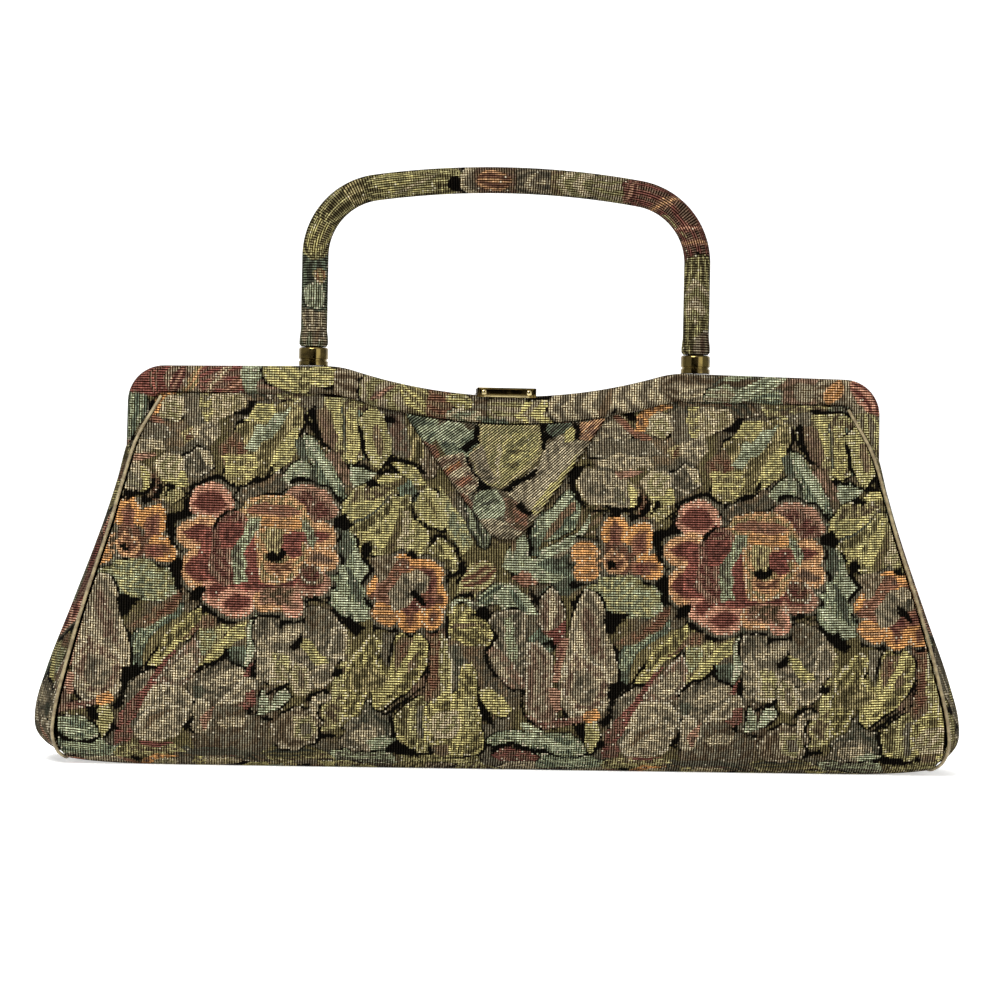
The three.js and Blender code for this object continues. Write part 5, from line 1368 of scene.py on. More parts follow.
def column_shell(columns, wall, outward=1):
    """A closed cloth wall whose outer face has a column of cells for each entry, and a coarser inner face.

    The wall's thickness is one number, or one for each outer point. Returns points, faces and uv."""
    starts = np.concatenate([[0], np.cumsum([len(column["points"]) for column in columns])])
    outer = np.concatenate([column["points"] for column in columns])
    uv = np.concatenate([
        np.stack([np.full(len(column["heights"]), column["across"]), column["heights"]], axis=-1)
        for column in columns
    ])
    lists = [list(zip(range(a, b), column["heights"])) for a, b, column in zip(starts, starts[1:], columns)]
    faces = zip_strips(lists, outward < 0)
    normals = point_normals(outer, faces)

    kept = sorted(set(range(0, len(columns), INNER_EVERY)) | {len(columns) - 1})
    keeps = {c: sparse_places(columns[c]) for c in kept}
    pairs = [(c, i) for c in kept for i in keeps[c]]
    index = {pair: len(outer) + number for number, pair in enumerate(pairs)}
    source = np.array([starts[c] + i for c, i in pairs], int)
    depth = np.broadcast_to(wall, len(outer))[source][:, None]
    inner = outer[source] - depth * normals[source]
    inner_lists = [[(index[(c, i)], columns[c]["heights"][i]) for i in keeps[c]] for c in kept]
    faces += zip_strips(inner_lists, outward > 0)

    for c0, c1 in zip(kept, kept[1:]):
        low = [int(starts[c]) for c in range(c0, c1 + 1)]
        high = [int(starts[c + 1]) - 1 for c in range(c0, c1 + 1)]
        faces.append((*low, index[(c1, keeps[c1][0])], index[(c0, keeps[c0][0])]))
        faces.append((*high, index[(c1, keeps[c1][-1])], index[(c0, keeps[c0][-1])]))
    for c in (0, len(columns) - 1):
        for i0, i1 in zip(keeps[c], keeps[c][1:]):
            chain = [int(starts[c]) + i for i in range(i0, i1 + 1)]
            faces.append((*chain, index[(c, i1)], index[(c, i0)]))
    return np.concatenate([outer, inner]), faces, np.concatenate([uv, uv[source]])


def make_object(name, points, faces):
    """A mesh object in metres from points in millimetres, its faces turned outwards."""
    mesh = bpy.data.meshes.new(name)
    mesh.from_pydata((np.asarray(points) * MM).tolist(), [], faces)
    work = bmesh.new()
    work.from_mesh(mesh)
    bmesh.ops.recalc_face_normals(work, faces=work.faces)
    work.to_mesh(mesh)
    work.free()
    mesh.shade_smooth()
    mesh.set_sharp_from_angle(angle=SMOOTH_ANGLE)
    piece = bpy.data.objects.new(name, mesh)
    bpy.context.scene.collection.objects.link(piece)
    return piece


# Weaving: colours and cloth coordinates at the corners of the faces


def mesh_corners(mesh):
    """The point at each corner of a face, and the number of corners of each face."""
    points = np.zeros(len(mesh.loops), int)
    mesh.loops.foreach_get("vertex_index", points)
    totals = np.zeros(len(mesh.polygons), int)
    mesh.polygons.foreach_get("loop_total", totals)
    return points, totals


def drawn_in(values, totals):
    """Corner values, drawn halfway to the middle of their face."""
    means = np.add.reduceat(values, np.cumsum(totals) - totals, axis=0) / totals[:, None]
    return (values + np.repeat(means, totals, axis=0)) / 2


def corner_spots(mesh, values):
    """Values of a point array at each face's corners, drawn halfway to the face's middle."""
    points, totals = mesh_corners(mesh)
    return drawn_in(values[points], totals)


def linear(colour):
    """Linear light of sRGB colours from 0 to 255."""
    share = np.asarray(colour, float) / 255
    return np.where(share <= 0.04045, share / 12.92, ((share + 0.055) / 1.055) ** 2.4)


def colour_cells(mesh, threads, uv, tone, pick_share):
    """Writes thread colour, share of picks and cloth coordinates at each corner, and each face's glint."""
    rgb, picks, glint = threads
    _, totals = mesh_corners(mesh)
    tint = mesh.attributes.new("Weave", "FLOAT_COLOR", "CORNER")
    # the tone is painted light and shade: it brightens or darkens the piece's thread colours
    colours = np.concatenate([linear(rgb) * tone, picks[:, None] * pick_share], axis=1)
    tint.data.foreach_set("color", colours.ravel())
    spark = mesh.attributes.new("Glint", "FLOAT", "FACE")
    spark.data.foreach_set("value", glint[np.cumsum(totals) - totals])
    layer = mesh.uv_layers.new(name="Cloth")
    layer.data.foreach_set("uv", (uv / CELL).ravel())


def weave(piece, uv, spots, chart, seed, tone=1.0, pick_share=1.0):
    """Gives a cloth piece its weave: thread colours for each quarter of a cell, and cloth coordinates."""
    points, _ = mesh_corners(piece.data)
    quarters = np.floor(2 * corner_spots(piece.data, uv) / CELL)
    threads = paint(*spots.T, *quarters.T, chart, seed)
    colour_cells(piece.data, threads, uv[points], tone, pick_share)


def photo_place(points):
    """Where points show in the photo's upright plane, in millimetres."""
    right = np.array([math.cos(CAMERA_YAW), -math.sin(CAMERA_YAW)])
    ahead = np.array([math.sin(CAMERA_YAW), math.cos(CAMERA_YAW)])
    flat = points[:, :2] - np.array([CAMERA_AIM_X, 0])
    scale = CAMERA_DISTANCE / (CAMERA_DISTANCE + flat @ ahead)
    x = (flat @ right) * scale + CAMERA_AIM_X
    z = CAMERA_HEIGHT + (points[:, 2] - CAMERA_HEIGHT) * scale
    return np.stack([x, z], axis=-1)


# Pieces of cloth


def panel_columns():
    """Columns of the front half of the main cloth, from the base middle up to the frame or the side seam."""
    dense = np.linspace(0, SEAM_LENGTH, PANEL_SAMPLES)
    reach = seam_at(dense)["half"] - SEAM_INSET
    widest = int(np.argmax(reach))
    count = int((reach[widest] - EDGE_ROOM) / CELL)
    guide = panel_points(dense[::-1], reach[-1] - PANEL_GUIDE_INSET)
    guide_heights = run_lengths(guide)[::-1]
    columns = []
    for x in np.arange(-count, count + 1) * CELL:
        wide = abs(x)
        top = np.interp(wide, reach[:widest + 1], dense[:widest + 1])
        foot = SEAM_LENGTH if wide <= reach[-1] else np.interp(-wide, -reach[widest:], dense[widest:])
        points = panel_points(np.linspace(foot, top, PANEL_COLUMN_SAMPLES), x)
        points[:, 1] = np.minimum(points[:, 1], -BASE_JOIN)
        heights = run_lengths(points)
        if wide > reach[-1]:
            heights = heights + np.interp(foot, dense, guide_heights)
        columns.append(cut_column(x, points, heights, CELL))
    return columns


def panel(name, side):
    """The front (side -1) or back (side 1) half of the main cloth."""
    points, faces, uv = column_shell(panel_columns(), WALL)
    if side > 0:
        points = points * TURNED_ROUND
    piece = make_object(name, points, faces)
    seen = photo_place(np.stack([uv[:, 0], -np.abs(points[:, 1]), points[:, 2]], axis=-1))
    below = np.clip(CORNER_CLOTH_HEIGHT - uv[:, 1], 0, None)
    seen[:, 1] = np.where(below > 0, np.minimum(seen[:, 1], CORNER_CHART_Z) - below, seen[:, 1])
    if side > 0:
        seen[:, 0] += BACK_SHIFT
    weave(piece, uv, corner_spots(piece.data, seen), MAIN_CHART, PANEL_SEED)
    return piece


def gusset_places(widest, notch):
    """Where a gusset's columns stand: a cell apart, and close to both sides of the notch's edges."""
    count = int((widest - EDGE_ROOM) / CELL)
    beside = int(notch / CELL) + 1
    steps = [k * CELL for k in range(1, count + 1) if k != beside or k * CELL - notch > NOTCH_ROOM]
    steps += [notch - NOTCH_STEP, notch + NOTCH_STEP]
    return sorted([-step for step in steps] + [0.0] + steps)


def gusset(name, side):
    """A side wall, which bulges between its seams and is notched between the frame's arms."""
    last = SEAM_DISTANCES[BASE_ROW]
    first = (SEAM_TOP_Z - GUSSET_TOP_Z) * SEAM_DISTANCES[1] / (SEAM_TOP_Z - SEAM[1, 0])
    dense = np.linspace(first, last, GUSSET_SAMPLES)
    reach, level = gusset_edge(dense)
    widest = int(np.argmax(reach))
    notch = FRAME_FACE_Y + GAP
    notch_top = np.interp(-GUSSET_NOTCH_Z, -level, dense)
    middle_run = run_lengths(gusset_points(dense, 0.0, side))
    middle_heights = level[-1] + middle_run[-1] - middle_run
    columns = []
    for y in gusset_places(reach[widest], notch):
        wide = abs(y)
        top = first if wide <= reach[0] else np.interp(wide, reach[:widest + 1], dense[:widest + 1])
        if wide < notch:
            top = max(top, notch_top)
        foot = last if wide <= reach[-1] else np.interp(-wide, -reach[widest:], dense[widest:])
        distances = np.linspace(foot, top, GUSSET_COLUMN_SAMPLES)
        heights = np.interp(distances, dense, middle_heights)
        columns.append(cut_column(y, gusset_points(distances, y, side), heights, CELL))
    points, faces, uv = column_shell(columns, GUSSET_WALL, outward=side)
    piece = make_object(name, points, faces)
    places = uv * np.array([-side, 1.0]) + np.array([GUSSET_SHIFT[side], 0])
    # the side wall's cloth is darkened as painted shade, the left one more than the right
    weave(piece, uv, corner_spots(piece.data, places), MAIN_CHART, GUSSET_SEED + side, GUSSET_PAINTED_SHADE[side])
    return piece


def tuck(name, side, face):
    """The gusset's end, tucked under the frame's inner corner at the front (face -1) or back (face 1)."""
    columns = []
    for x in np.arange(*TUCK_X, CELL) - (0 if side * face < 0 else sum(TUCK_X)):
        heights = np.arange(*TUCK_Z, CELL)
        points = np.stack([np.full(len(heights), x), np.full(len(heights), -TUCK_Y), heights], axis=-1)
        columns.append(cut_column(x, points, heights, CELL))
    points, faces, uv = column_shell(columns, TUCK_WALL)
    if face > 0:
        points = points * TURNED_ROUND
    piece = make_object(name, points, faces)
    # the tucked cloth is darkened as painted shade, under the frame's corner
    weave(piece, uv, corner_spots(piece.data, photo_place(points)), MAIN_CHART, TUCK_SEED, TUCK_PAINTED_SHADE)
    return piece


def tube_piece(name, rings):
    """A bar through rings of points, closed at both ends."""
    count, size = rings.shape[:2]
    faces = []
    for i in range(count - 1):
        for j in range(size):
            k = (j + 1) % size
            faces.append((i * size + j, i * size + k, (i + 1) * size + k, (i + 1) * size + j))
    faces.append(tuple(range(size)))
    faces.append(tuple((count - 1) * size + j for j in range(size)))
    return make_object(name, rings.reshape(-1, 3), faces)


def weave_tube(piece, run, around, place, motifs, seed, tone, pick_share=1.0, lie=None):
    """Weaves a bar: run and around are the cloth coordinates of its rings and of the points in a ring.

    The function place turns them into places of the chart. The threads follow the bar, or lie as a
    function of ring and place around says."""
    size = len(around)
    points, totals = mesh_corners(piece.data)
    firsts = np.cumsum(totals) - totals
    ring = points // size
    spot = points % size
    wraps = np.repeat(np.maximum.reduceat(spot, firsts) - np.minimum.reduceat(spot, firsts) > 1, totals)
    closing = wraps & (spot == 0) & (np.repeat(totals, totals) == 4)
    turned = around[spot] + np.where(closing, (around[1] - around[0]) * size, 0)
    uv = np.stack([run[ring], turned], axis=-1)
    spots = drawn_in(uv, totals)
    quarters = np.floor(2 * spots / CELL)
    threads = paint(*place(spots), *quarters.T, (motifs, ()), seed, repeats=False)
    colour_cells(piece.data, threads, uv if lie is None else lie(ring, turned), tone, pick_share)


def resample(rows, lengths, step):
    """Rows at even steps along a line, and the lengths where they are."""
    count = max(2, int(round(lengths[-1] / step)))
    places = np.linspace(0, lengths[-1], count + 1)
    return np.stack([np.interp(places, lengths, rows[:, k]) for k in range(rows.shape[1])], axis=-1), places


def frame_path():
    """The frame's top edge from the end of the left arm to the right one, with the direction into the bag."""
    rows = []
    for angle in np.linspace(0, DIP_ANGLE, FRAME_STEPS["dip"])[:-1]:
        into, down = math.sin(angle), -math.cos(angle)
        rows.append((DIP_RADIUS * into, DIP_CENTRE_Z + DIP_RADIUS * down, into, down))
    for angle in np.linspace(DIP_ANGLE, 0, FRAME_STEPS["blend"])[:-1]:
        into, down = math.sin(angle), -math.cos(angle)
        rows.append((BLEND_X - BLEND_RADIUS * into, BLEND_CENTRE_Z - BLEND_RADIUS * down, into, down))
    for share in np.linspace(0, 1, FRAME_STEPS["shoulder"])[:-1]:
        x = BLEND_X + (CORNER_X - BLEND_X) * share
        rows.append((x, SHOULDER_Z - SHOULDER_FALL * share, 0, -1))
    for angle in np.linspace(math.pi / 2, 0, FRAME_STEPS["corner"])[:-1]:
        into, down = -math.cos(angle), -math.sin(angle)
        rows.append((CORNER_X - CORNER_RADIUS * into, CORNER_Z - CORNER_RADIUS * down, into, down))
    for share in np.linspace(0, 1, FRAME_STEPS["arm"]):
        x = ARM_TOP_X + (ARM_END_X - ARM_TOP_X) * share
        rows.append((x, CORNER_Z + (ARM_END_Z - CORNER_Z) * share, -1, 0))
    right = np.array(rows)
    left = right[:0:-1] * np.array([-1, 1, -1, 1])
    return np.concatenate([left, right])


def band_section():
    """A rounded rectangle's points, as distances into the band and through it, starting at the back."""
    rows = []
    corners = (
        (FRAME_BAND - FRAME_ROUND, FRAME_THICK - FRAME_ROUND),
        (FRAME_ROUND, FRAME_THICK - FRAME_ROUND),
        (FRAME_ROUND, FRAME_ROUND),
        (FRAME_BAND - FRAME_ROUND, FRAME_ROUND),
    )
    for quarter, (inset, through) in enumerate(corners):
        for angle in np.linspace(quarter, quarter + 1, FRAME_ROUND_STEPS) * math.pi / 2:
            rows.append((inset + FRAME_ROUND * math.cos(angle), through + FRAME_ROUND * math.sin(angle)))
    closed = np.array(rows + rows[:1])
    section, places = resample(closed, run_lengths(closed), CELL)
    return section[:-1], places[:-1]


def frame_half(name, side):
    """The front (side -1) or back (side 1) half of the cloth-covered frame."""
    path = frame_path()
    middle = path[:, :2] + path[:, 2:] * FRAME_BAND / 2
    stations, run = resample(path, run_lengths(middle), CELL)
    section, around = band_section()
    inset = section[:, 0][None, :]
    x = stations[:, 0:1] + stations[:, 2:3] * inset
    z = stations[:, 1:2] + stations[:, 3:4] * inset
    y = np.broadcast_to(side * (FRAME_SPLIT + section[:, 1])[None, :], x.shape)
    piece = tube_piece(name, np.stack([x, y, z], axis=-1))

    def place(spots):
        return -side * spots[:, 0], spots[:, 1] - FRAME_FACE_MIDDLE

    def lie(ring, turned):
        inwards = (FRAME_BAND - FRAME_ROUND + FRAME_ROUND * math.pi / 2 - turned)[:, None]
        return stations[ring, :2] + stations[ring, 2:] * inwards

    from_middle = run - run[-1] / 2
    seed = FRAME_SEED + side
    # the frame's cloth is brightened as painted light
    weave_tube(piece, from_middle, around, place, FRAME_MOTIFS, seed, FRAME_PAINTED_LIGHT, FRAME_PICKS, lie)
    return piece


def crown_arc():
    """The handle's shallow top arc: radius, height of its centre, the corners' centre and its half angle."""
    offset = HANDLE_X - HANDLE_CORNER_RADIUS
    rise = HANDLE_APEX_Z - HANDLE_CORNER_Z - HANDLE_CORNER_RADIUS
    drop = (offset ** 2 - rise ** 2) / (2 * rise)
    return drop + rise + HANDLE_CORNER_RADIUS, HANDLE_CORNER_Z - drop, offset, math.atan2(offset, drop)


def handle_path():
    """The arch from the right ferrule to the left one: x, z, angle and radius at each station."""
    radius, centre_z, offset, turn = crown_arc()
    foot = FERRULE_TOP_Z + GAP
    leg_foot = foot + HANDLE_END_LENGTH
    rows = []
    for lift in np.linspace(0, 1, HANDLE_STEPS["foot"]):
        width = HANDLE_END_RADIUS - HANDLE_END_ROUND * (1 - math.sqrt(1 - (1 - lift) ** 2))
        rows.append((HANDLE_X, foot + HANDLE_END_ROUND * lift, 0, width))
    for share in np.linspace(0, 1, HANDLE_STEPS["end"])[1:]:
        z = foot + HANDLE_END_ROUND + (HANDLE_END_LENGTH - HANDLE_END_ROUND) * share
        kept = 1 - smoothstep(share, HANDLE_TAPER_START, 1.0)
        rows.append((HANDLE_X, z, 0, HANDLE_RADIUS + (HANDLE_END_RADIUS - HANDLE_RADIUS) * kept))
    for share in np.linspace(0, 1, HANDLE_STEPS["leg"])[1:]:
        rows.append((HANDLE_X, leg_foot + (HANDLE_CORNER_Z - leg_foot) * share, 0, HANDLE_RADIUS))
    for angle in np.linspace(0, math.pi / 2 - turn, HANDLE_STEPS["corner"])[1:]:
        x = offset + HANDLE_CORNER_RADIUS * math.cos(angle)
        rows.append((x, HANDLE_CORNER_Z + HANDLE_CORNER_RADIUS * math.sin(angle), angle, HANDLE_RADIUS))
    for angle in np.linspace(math.pi / 2 - turn, math.pi / 2, HANDLE_STEPS["crown"])[1:]:
        rows.append((radius * math.cos(angle), centre_z + radius * math.sin(angle), angle, HANDLE_RADIUS))
    right = np.array(rows)
    left = right[-2::-1] * np.array([-1, 1, -1, 1]) + np.array([0, 0, math.pi, 0])
    return np.concatenate([right, left])


def handle():
    """The arch, wound in cloth."""
    path = handle_path()
    stations, run = resample(path, run_lengths(path[:, :2]), CELL)
    sides = int(round(2 * math.pi * HANDLE_RADIUS / CELL))
    angles = np.arange(sides) * 2 * math.pi / sides
    half_turn = math.pi * HANDLE_RADIUS
    out = stations[:, 3:4] * np.cos(angles)[None, :]
    x = stations[:, 0:1] + out * np.cos(stations[:, 2:3])
    z = stations[:, 1:2] + out * np.sin(stations[:, 2:3])
    y = HANDLE_Y - stations[:, 3:4] * np.sin(angles)[None, :]
    piece = tube_piece("handle_cloth", np.stack([x, y, z], axis=-1))

    def place(spots):
        return -spots[:, 0], np.abs(spots[:, 1] - half_turn) - half_turn / 2

    from_middle = run - run[-1] / 2
    # the handle's cloth is darkened as painted shade
    weave_tube(piece, from_middle, angles * HANDLE_RADIUS, place, HANDLE_MOTIFS, HANDLE_SEED, HANDLE_PAINTED_SHADE)
    return piece


def flap_edge(places, x, length):
    """The tab's half width at places above its tip, and how far a column at x is from its edge there."""
    slope = math.atan2(FLAP_HALF - FLAP_TIP_RADIUS, length - FLAP_TIP_RADIUS)
    round_top = FLAP_TIP_RADIUS * (1 - math.sin(slope))
    round_half = FLAP_TIP_RADIUS * math.cos(slope)
    tip = np.sqrt(np.maximum(FLAP_TIP_RADIUS ** 2 - (FLAP_TIP_RADIUS - places) ** 2, 0))
    straight = round_half + (FLAP_HALF - round_half) * (places - round_top) / (length - round_top)
    half = np.where(places < round_top, tip, straight)
    tip_distance = FLAP_TIP_RADIUS - np.hypot(x, FLAP_TIP_RADIUS - places)
    return half, np.where(places < round_top, tip_distance, (half - abs(x)) * math.cos(slope))


def flap_column(x, places, length):
    """One column of the tab, and the wall's thickness at its points, which falls off at the turned edge."""
    down = length - places
    up = panel_points(down - FLAP_SLOPE_STEP, x) - panel_points(down + FLAP_SLOPE_STEP, x)
    across = panel_points(down, x + FLAP_SLOPE_STEP) - panel_points(down, x - FLAP_SLOPE_STEP)
    normal = np.cross(across, up)
    normal = normal / np.linalg.norm(normal, axis=1)[:, None]
    _, distance = flap_edge(places, x, length)
    turn = np.clip(1 - distance / FLAP_EDGE_ROUND, 0, 1)
    wall = FLAP_WALL - FLAP_EDGE_ROUND * (1 - np.sqrt(1 - turn ** 2))
    points = panel_points(down, x) + (GAP + wall)[:, None] * normal
    column = cut_column(x, points, places, FLAP_CELL)
    return column, np.interp(column["heights"], places, wall)


def flap():
    """The pointed tab: cloth on the bias, its edges turned under."""
    dense = np.linspace(0, SEAM_LENGTH, FLAP_LENGTH_SAMPLES)
    length = float(np.interp(-FLAP_TIP_Z, -panel_points(dense, 0.0)[:, 2], dense))
    above = np.linspace(FLAP_TIP_STEP, length - FLAP_TOP_DROP, FLAP_SAMPLES)
    halves, _ = flap_edge(above, 0.0, length)
    count = int(halves[-1] / FLAP_CELL)
    columns = []
    walls = []
    for x in np.arange(-count, count + 1) * FLAP_CELL:
        low = float(np.interp(abs(x), halves, above))
        column, wall = flap_column(x, np.linspace(low, above[-1], FLAP_COLUMN_SAMPLES), length)
        columns.append(column)
        walls.append(wall)
    walls = np.concatenate(walls)
    points, faces, uv = column_shell(columns, walls)
    piece = make_object("flap_cloth", points, faces)
    turned = uv @ BIAS.T
    cloth = corner_spots(piece.data, turned)
    shift = ((np.floor(2 * cloth / CELL) + 0.5) * CELL / 2 - cloth) @ BIAS
    seen = corner_spots(piece.data, photo_place(points))
    # painted shade: the tab's cloth is darkened a little all over, and more towards its turned edges where
    # the wall thins
    inside = np.zeros((len(points), 1))
    inside[:len(walls), 0] = smoothstep(walls, FLAP_WALL - FLAP_EDGE_ROUND, FLAP_WALL)
    tone = FLAP_PAINTED_SHADE * (FLAP_EDGE_PAINTED_SHADE + (1 - FLAP_EDGE_PAINTED_SHADE) * corner_spots(piece.data, inside))
    weave(piece, turned, seen + shift, (FLAP_MOTIFS, FLAP_GAPS), FLAP_SEED, tone, FLAP_PICKS)
    return piece


def piping(name, side):
    """The welt in the seam between the panel and a gusset, round the front, the base and the back."""
    seam = seam_at(np.linspace(0, SEAM_LENGTH, PIPING_SAMPLES))
    front = np.stack([side * seam["half"], -seam["deep"], seam["z"]], axis=-1)
    route = np.concatenate([front, front[-2::-1] * np.array([1, -1, 1])])
    tangent = np.gradient(route, axis=0)
    tangent /= np.linalg.norm(tangent, axis=1)[:, None]
    outward = np.array([side, 0.0, 0.0])
    first = outward - tangent * (tangent @ outward)[:, None]
    first /= np.linalg.norm(first, axis=1)[:, None]
    second = np.cross(tangent, first)
    angles = np.arange(PIPING_SIDES) * 2 * math.pi / PIPING_SIDES
    rings = (
        route[:, None, :]
        + PIPING_RADIUS * np.cos(angles)[None, :, None] * first[:, None, :]
        + PIPING_RADIUS * np.sin(angles)[None, :, None] * second[:, None, :]
    )
    return tube_piece(name, rings)


# Metal pieces


def lathe(name, profile, place):
    """A turned piece from (radius, height) rows, standing on a place."""
    x, y, z = place
    angles = np.arange(LATHE_SIDES) * 2 * math.pi / LATHE_SIDES
    return tube_piece(name, np.stack([
        np.stack([x + r * np.cos(angles), y + r * np.sin(angles), np.full(LATHE_SIDES, z + h)], axis=-1)
        for r, h in profile
    ]))


def ferrule(name, side):
    """A collar, a groove and a barrel with a rounded rim."""
    outer = FERRULE_RADIUS
    eased = outer - FERRULE_EASE
    groove = outer - FERRULE_GROOVE_DEPTH
    barrel = FERRULE_COLLAR + FERRULE_GROOVE
    top = barrel + FERRULE_BARREL
    profile = [
        (FERRULE_BORE, FERRULE_HOLLOW),
        (eased, 0.0),
        (outer, FERRULE_EASE),
        (outer, FERRULE_COLLAR - FERRULE_EASE),
        (eased, FERRULE_COLLAR),
        (groove, FERRULE_COLLAR + FERRULE_GROOVE_LEAN),
        (groove, barrel - FERRULE_GROOVE_LEAN),
        (eased, barrel),
        (outer, barrel + FERRULE_EASE),
        *((outer - inwards, top - below) for inwards, below in FERRULE_RIM),
        (FERRULE_BORE, top),
    ]
    return lathe(name, profile, (side * HANDLE_X, HANDLE_Y, FERRULE_Z))


def add_block(shape, x, y, z, ease):
    """Adds a block with eased edges, given by its ranges."""
    corners = bmesh.ops.create_cube(shape, size=1.0)["verts"]
    for corner in corners:
        corner.co = [low + (high - low) * (place + 0.5) for place, (low, high) in zip(corner.co, (x, y, z))]
    edges = list({edge for corner in corners for edge in corner.link_edges})
    bmesh.ops.bevel(shape, geom=edges, offset=ease, segments=EASE_SEGMENTS, profile=0.5, affect="EDGES")


def add_rod(shape, radius, half, y, z):
    """Adds a rod along x."""
    turn = Matrix.Translation((0, y, z)) @ Matrix.Rotation(math.pi / 2, 4, "Y")
    bmesh.ops.create_cone(
        shape, cap_ends=True, segments=ROD_SIDES, radius1=radius, radius2=radius, depth=2 * half, matrix=turn,
    )


def block_piece(name, shape):
    """A piece from the blocks and rods added to a shape, which is freed."""
    shape.verts.index_update()
    points = np.array([list(vert.co) for vert in shape.verts])
    faces = [[vert.index for vert in face.verts] for face in shape.faces]
    shape.free()
    return make_object(name, points, faces)


def lever_body():
    """The lever's plate, its lip with a rail and two ends round a sunk field, and its knuckle on the pin."""
    shape = bmesh.new()
    plate_y = (LIP_BACK_Y - LEVER_OVERLAP, PIVOT_Y)
    plate_z = (LEVER_TOP_Z - LEVER_THICK, LEVER_TOP_Z)
    lip_y = (LIP_FRONT_Y, LIP_BACK_Y)
    lip_z = (LIP_BOTTOM_Z, LEVER_TOP_Z)
    field_half = CLASP_HALF - LEVER_OVERLAP
    field_y = (LIP_FRONT_Y + LIP_FIELD_DEEP, LIP_BACK_Y)
    rail_z = (LEVER_TOP_Z - LIP_RAIL, LEVER_TOP_Z)
    add_block(shape, (-LEVER_PLATE_HALF, LEVER_PLATE_HALF), plate_y, plate_z, LEVER_EASE)
    add_block(shape, (-field_half, field_half), field_y, lip_z, LEVER_EASE / 2)
    add_block(shape, (-CLASP_HALF, CLASP_HALF), lip_y, rail_z, LEVER_EASE)
    for side in (-1, 1):
        ends = sorted((side * CLASP_HALF, side * (CLASP_HALF - LIP_END)))
        add_block(shape, ends, lip_y, lip_z, LEVER_EASE)
    add_rod(shape, KNUCKLE_RADIUS, LEVER_PLATE_HALF, PIVOT_Y, PIVOT_Z)
    add_rod(shape, PIVOT_PIN_RADIUS, PIVOT_PIN_HALF, PIVOT_Y, PIVOT_Z)
    return block_piece("clasp_lever_body", shape)


def lever_trim():
    """The lever's two knobs and the bar between them."""
    shape = bmesh.new()
    for side in (-1, 1):
        knob_x = (side * KNOB_X - KNOB_HALF, side * KNOB_X + KNOB_HALF)
        knob_y = (LIP_FRONT_Y - KNOB_PROUD, LIP_BACK_Y - LEVER_OVERLAP)
        add_block(shape, knob_x, knob_y, KNOB_Z, KNOB_EASE)
    add_rod(shape, BAR_RADIUS, KNOB_X, LIP_FRONT_Y, LIP_BOTTOM_Z + BAR_RADIUS)
    return block_piece("clasp_lever_trim", shape)


# Materials


def node(tree, kind, **settings):
    made = tree.nodes.new(kind)
    for key, value in settings.items():
        setattr(made, key, value)
    return made


def feed(tree, socket, value):
    """Sets a socket to a number or a colour, or links an output to it."""
    if isinstance(value, (int, float)):
        socket.default_value = value
    elif isinstance(value, tuple):
        socket.default_value = (*value, 1.0)
    else:
        tree.links.new(value, socket)


def math_node(tree, operation, first, second):
    made = node(tree, "ShaderNodeMath", operation=operation)
    feed(tree, made.inputs[0], first)
    feed(tree, made.inputs[1], second)
    return made.outputs[0]


def ramp(tree, value, limits):
    """A smooth step from 0 to 1 between two limits."""
    made = node(tree, "ShaderNodeMapRange", interpolation_type="SMOOTHSTEP")
    feed(tree, made.inputs["Value"], value)
    feed(tree, made.inputs["From Min"], limits[0])
    feed(tree, made.inputs["From Max"], limits[1])
    return made.outputs["Result"]


def mix_float(tree, factor, first, second):
    made = node(tree, "ShaderNodeMix", data_type="FLOAT")
    for index, value in ((0, factor), (2, first), (3, second)):
        feed(tree, made.inputs[index], value)
    return made.outputs[0]


def mix_colour(tree, factor, first, second, blend="MIX"):
    made = node(tree, "ShaderNodeMix", data_type="RGBA", blend_type=blend)
    for index, value in ((0, factor), (6, first), (7, second)):
        feed(tree, made.inputs[index], value)
    return made.outputs[2]


def noise(tree, vector, scale, detail):
    made = node(tree, "ShaderNodeTexNoise")
    made.inputs["Scale"].default_value = scale
    made.inputs["Detail"].default_value = detail
    tree.links.new(vector, made.inputs["Vector"])
    return made.outputs["Fac"]


def add_bump(tree, shader, height, strength, distance):
    made = node(tree, "ShaderNodeBump")
    made.inputs["Strength"].default_value = strength
    made.inputs["Distance"].default_value = distance
    tree.links.new(height, made.inputs["Height"])
    tree.links.new(made.outputs["Normal"], shader.inputs["Normal"])


def new_material(name):
    material = bpy.data.materials.new(name)
    material.use_nodes = True
    tree = material.node_tree
    return material, tree, tree.nodes["Principled BSDF"]


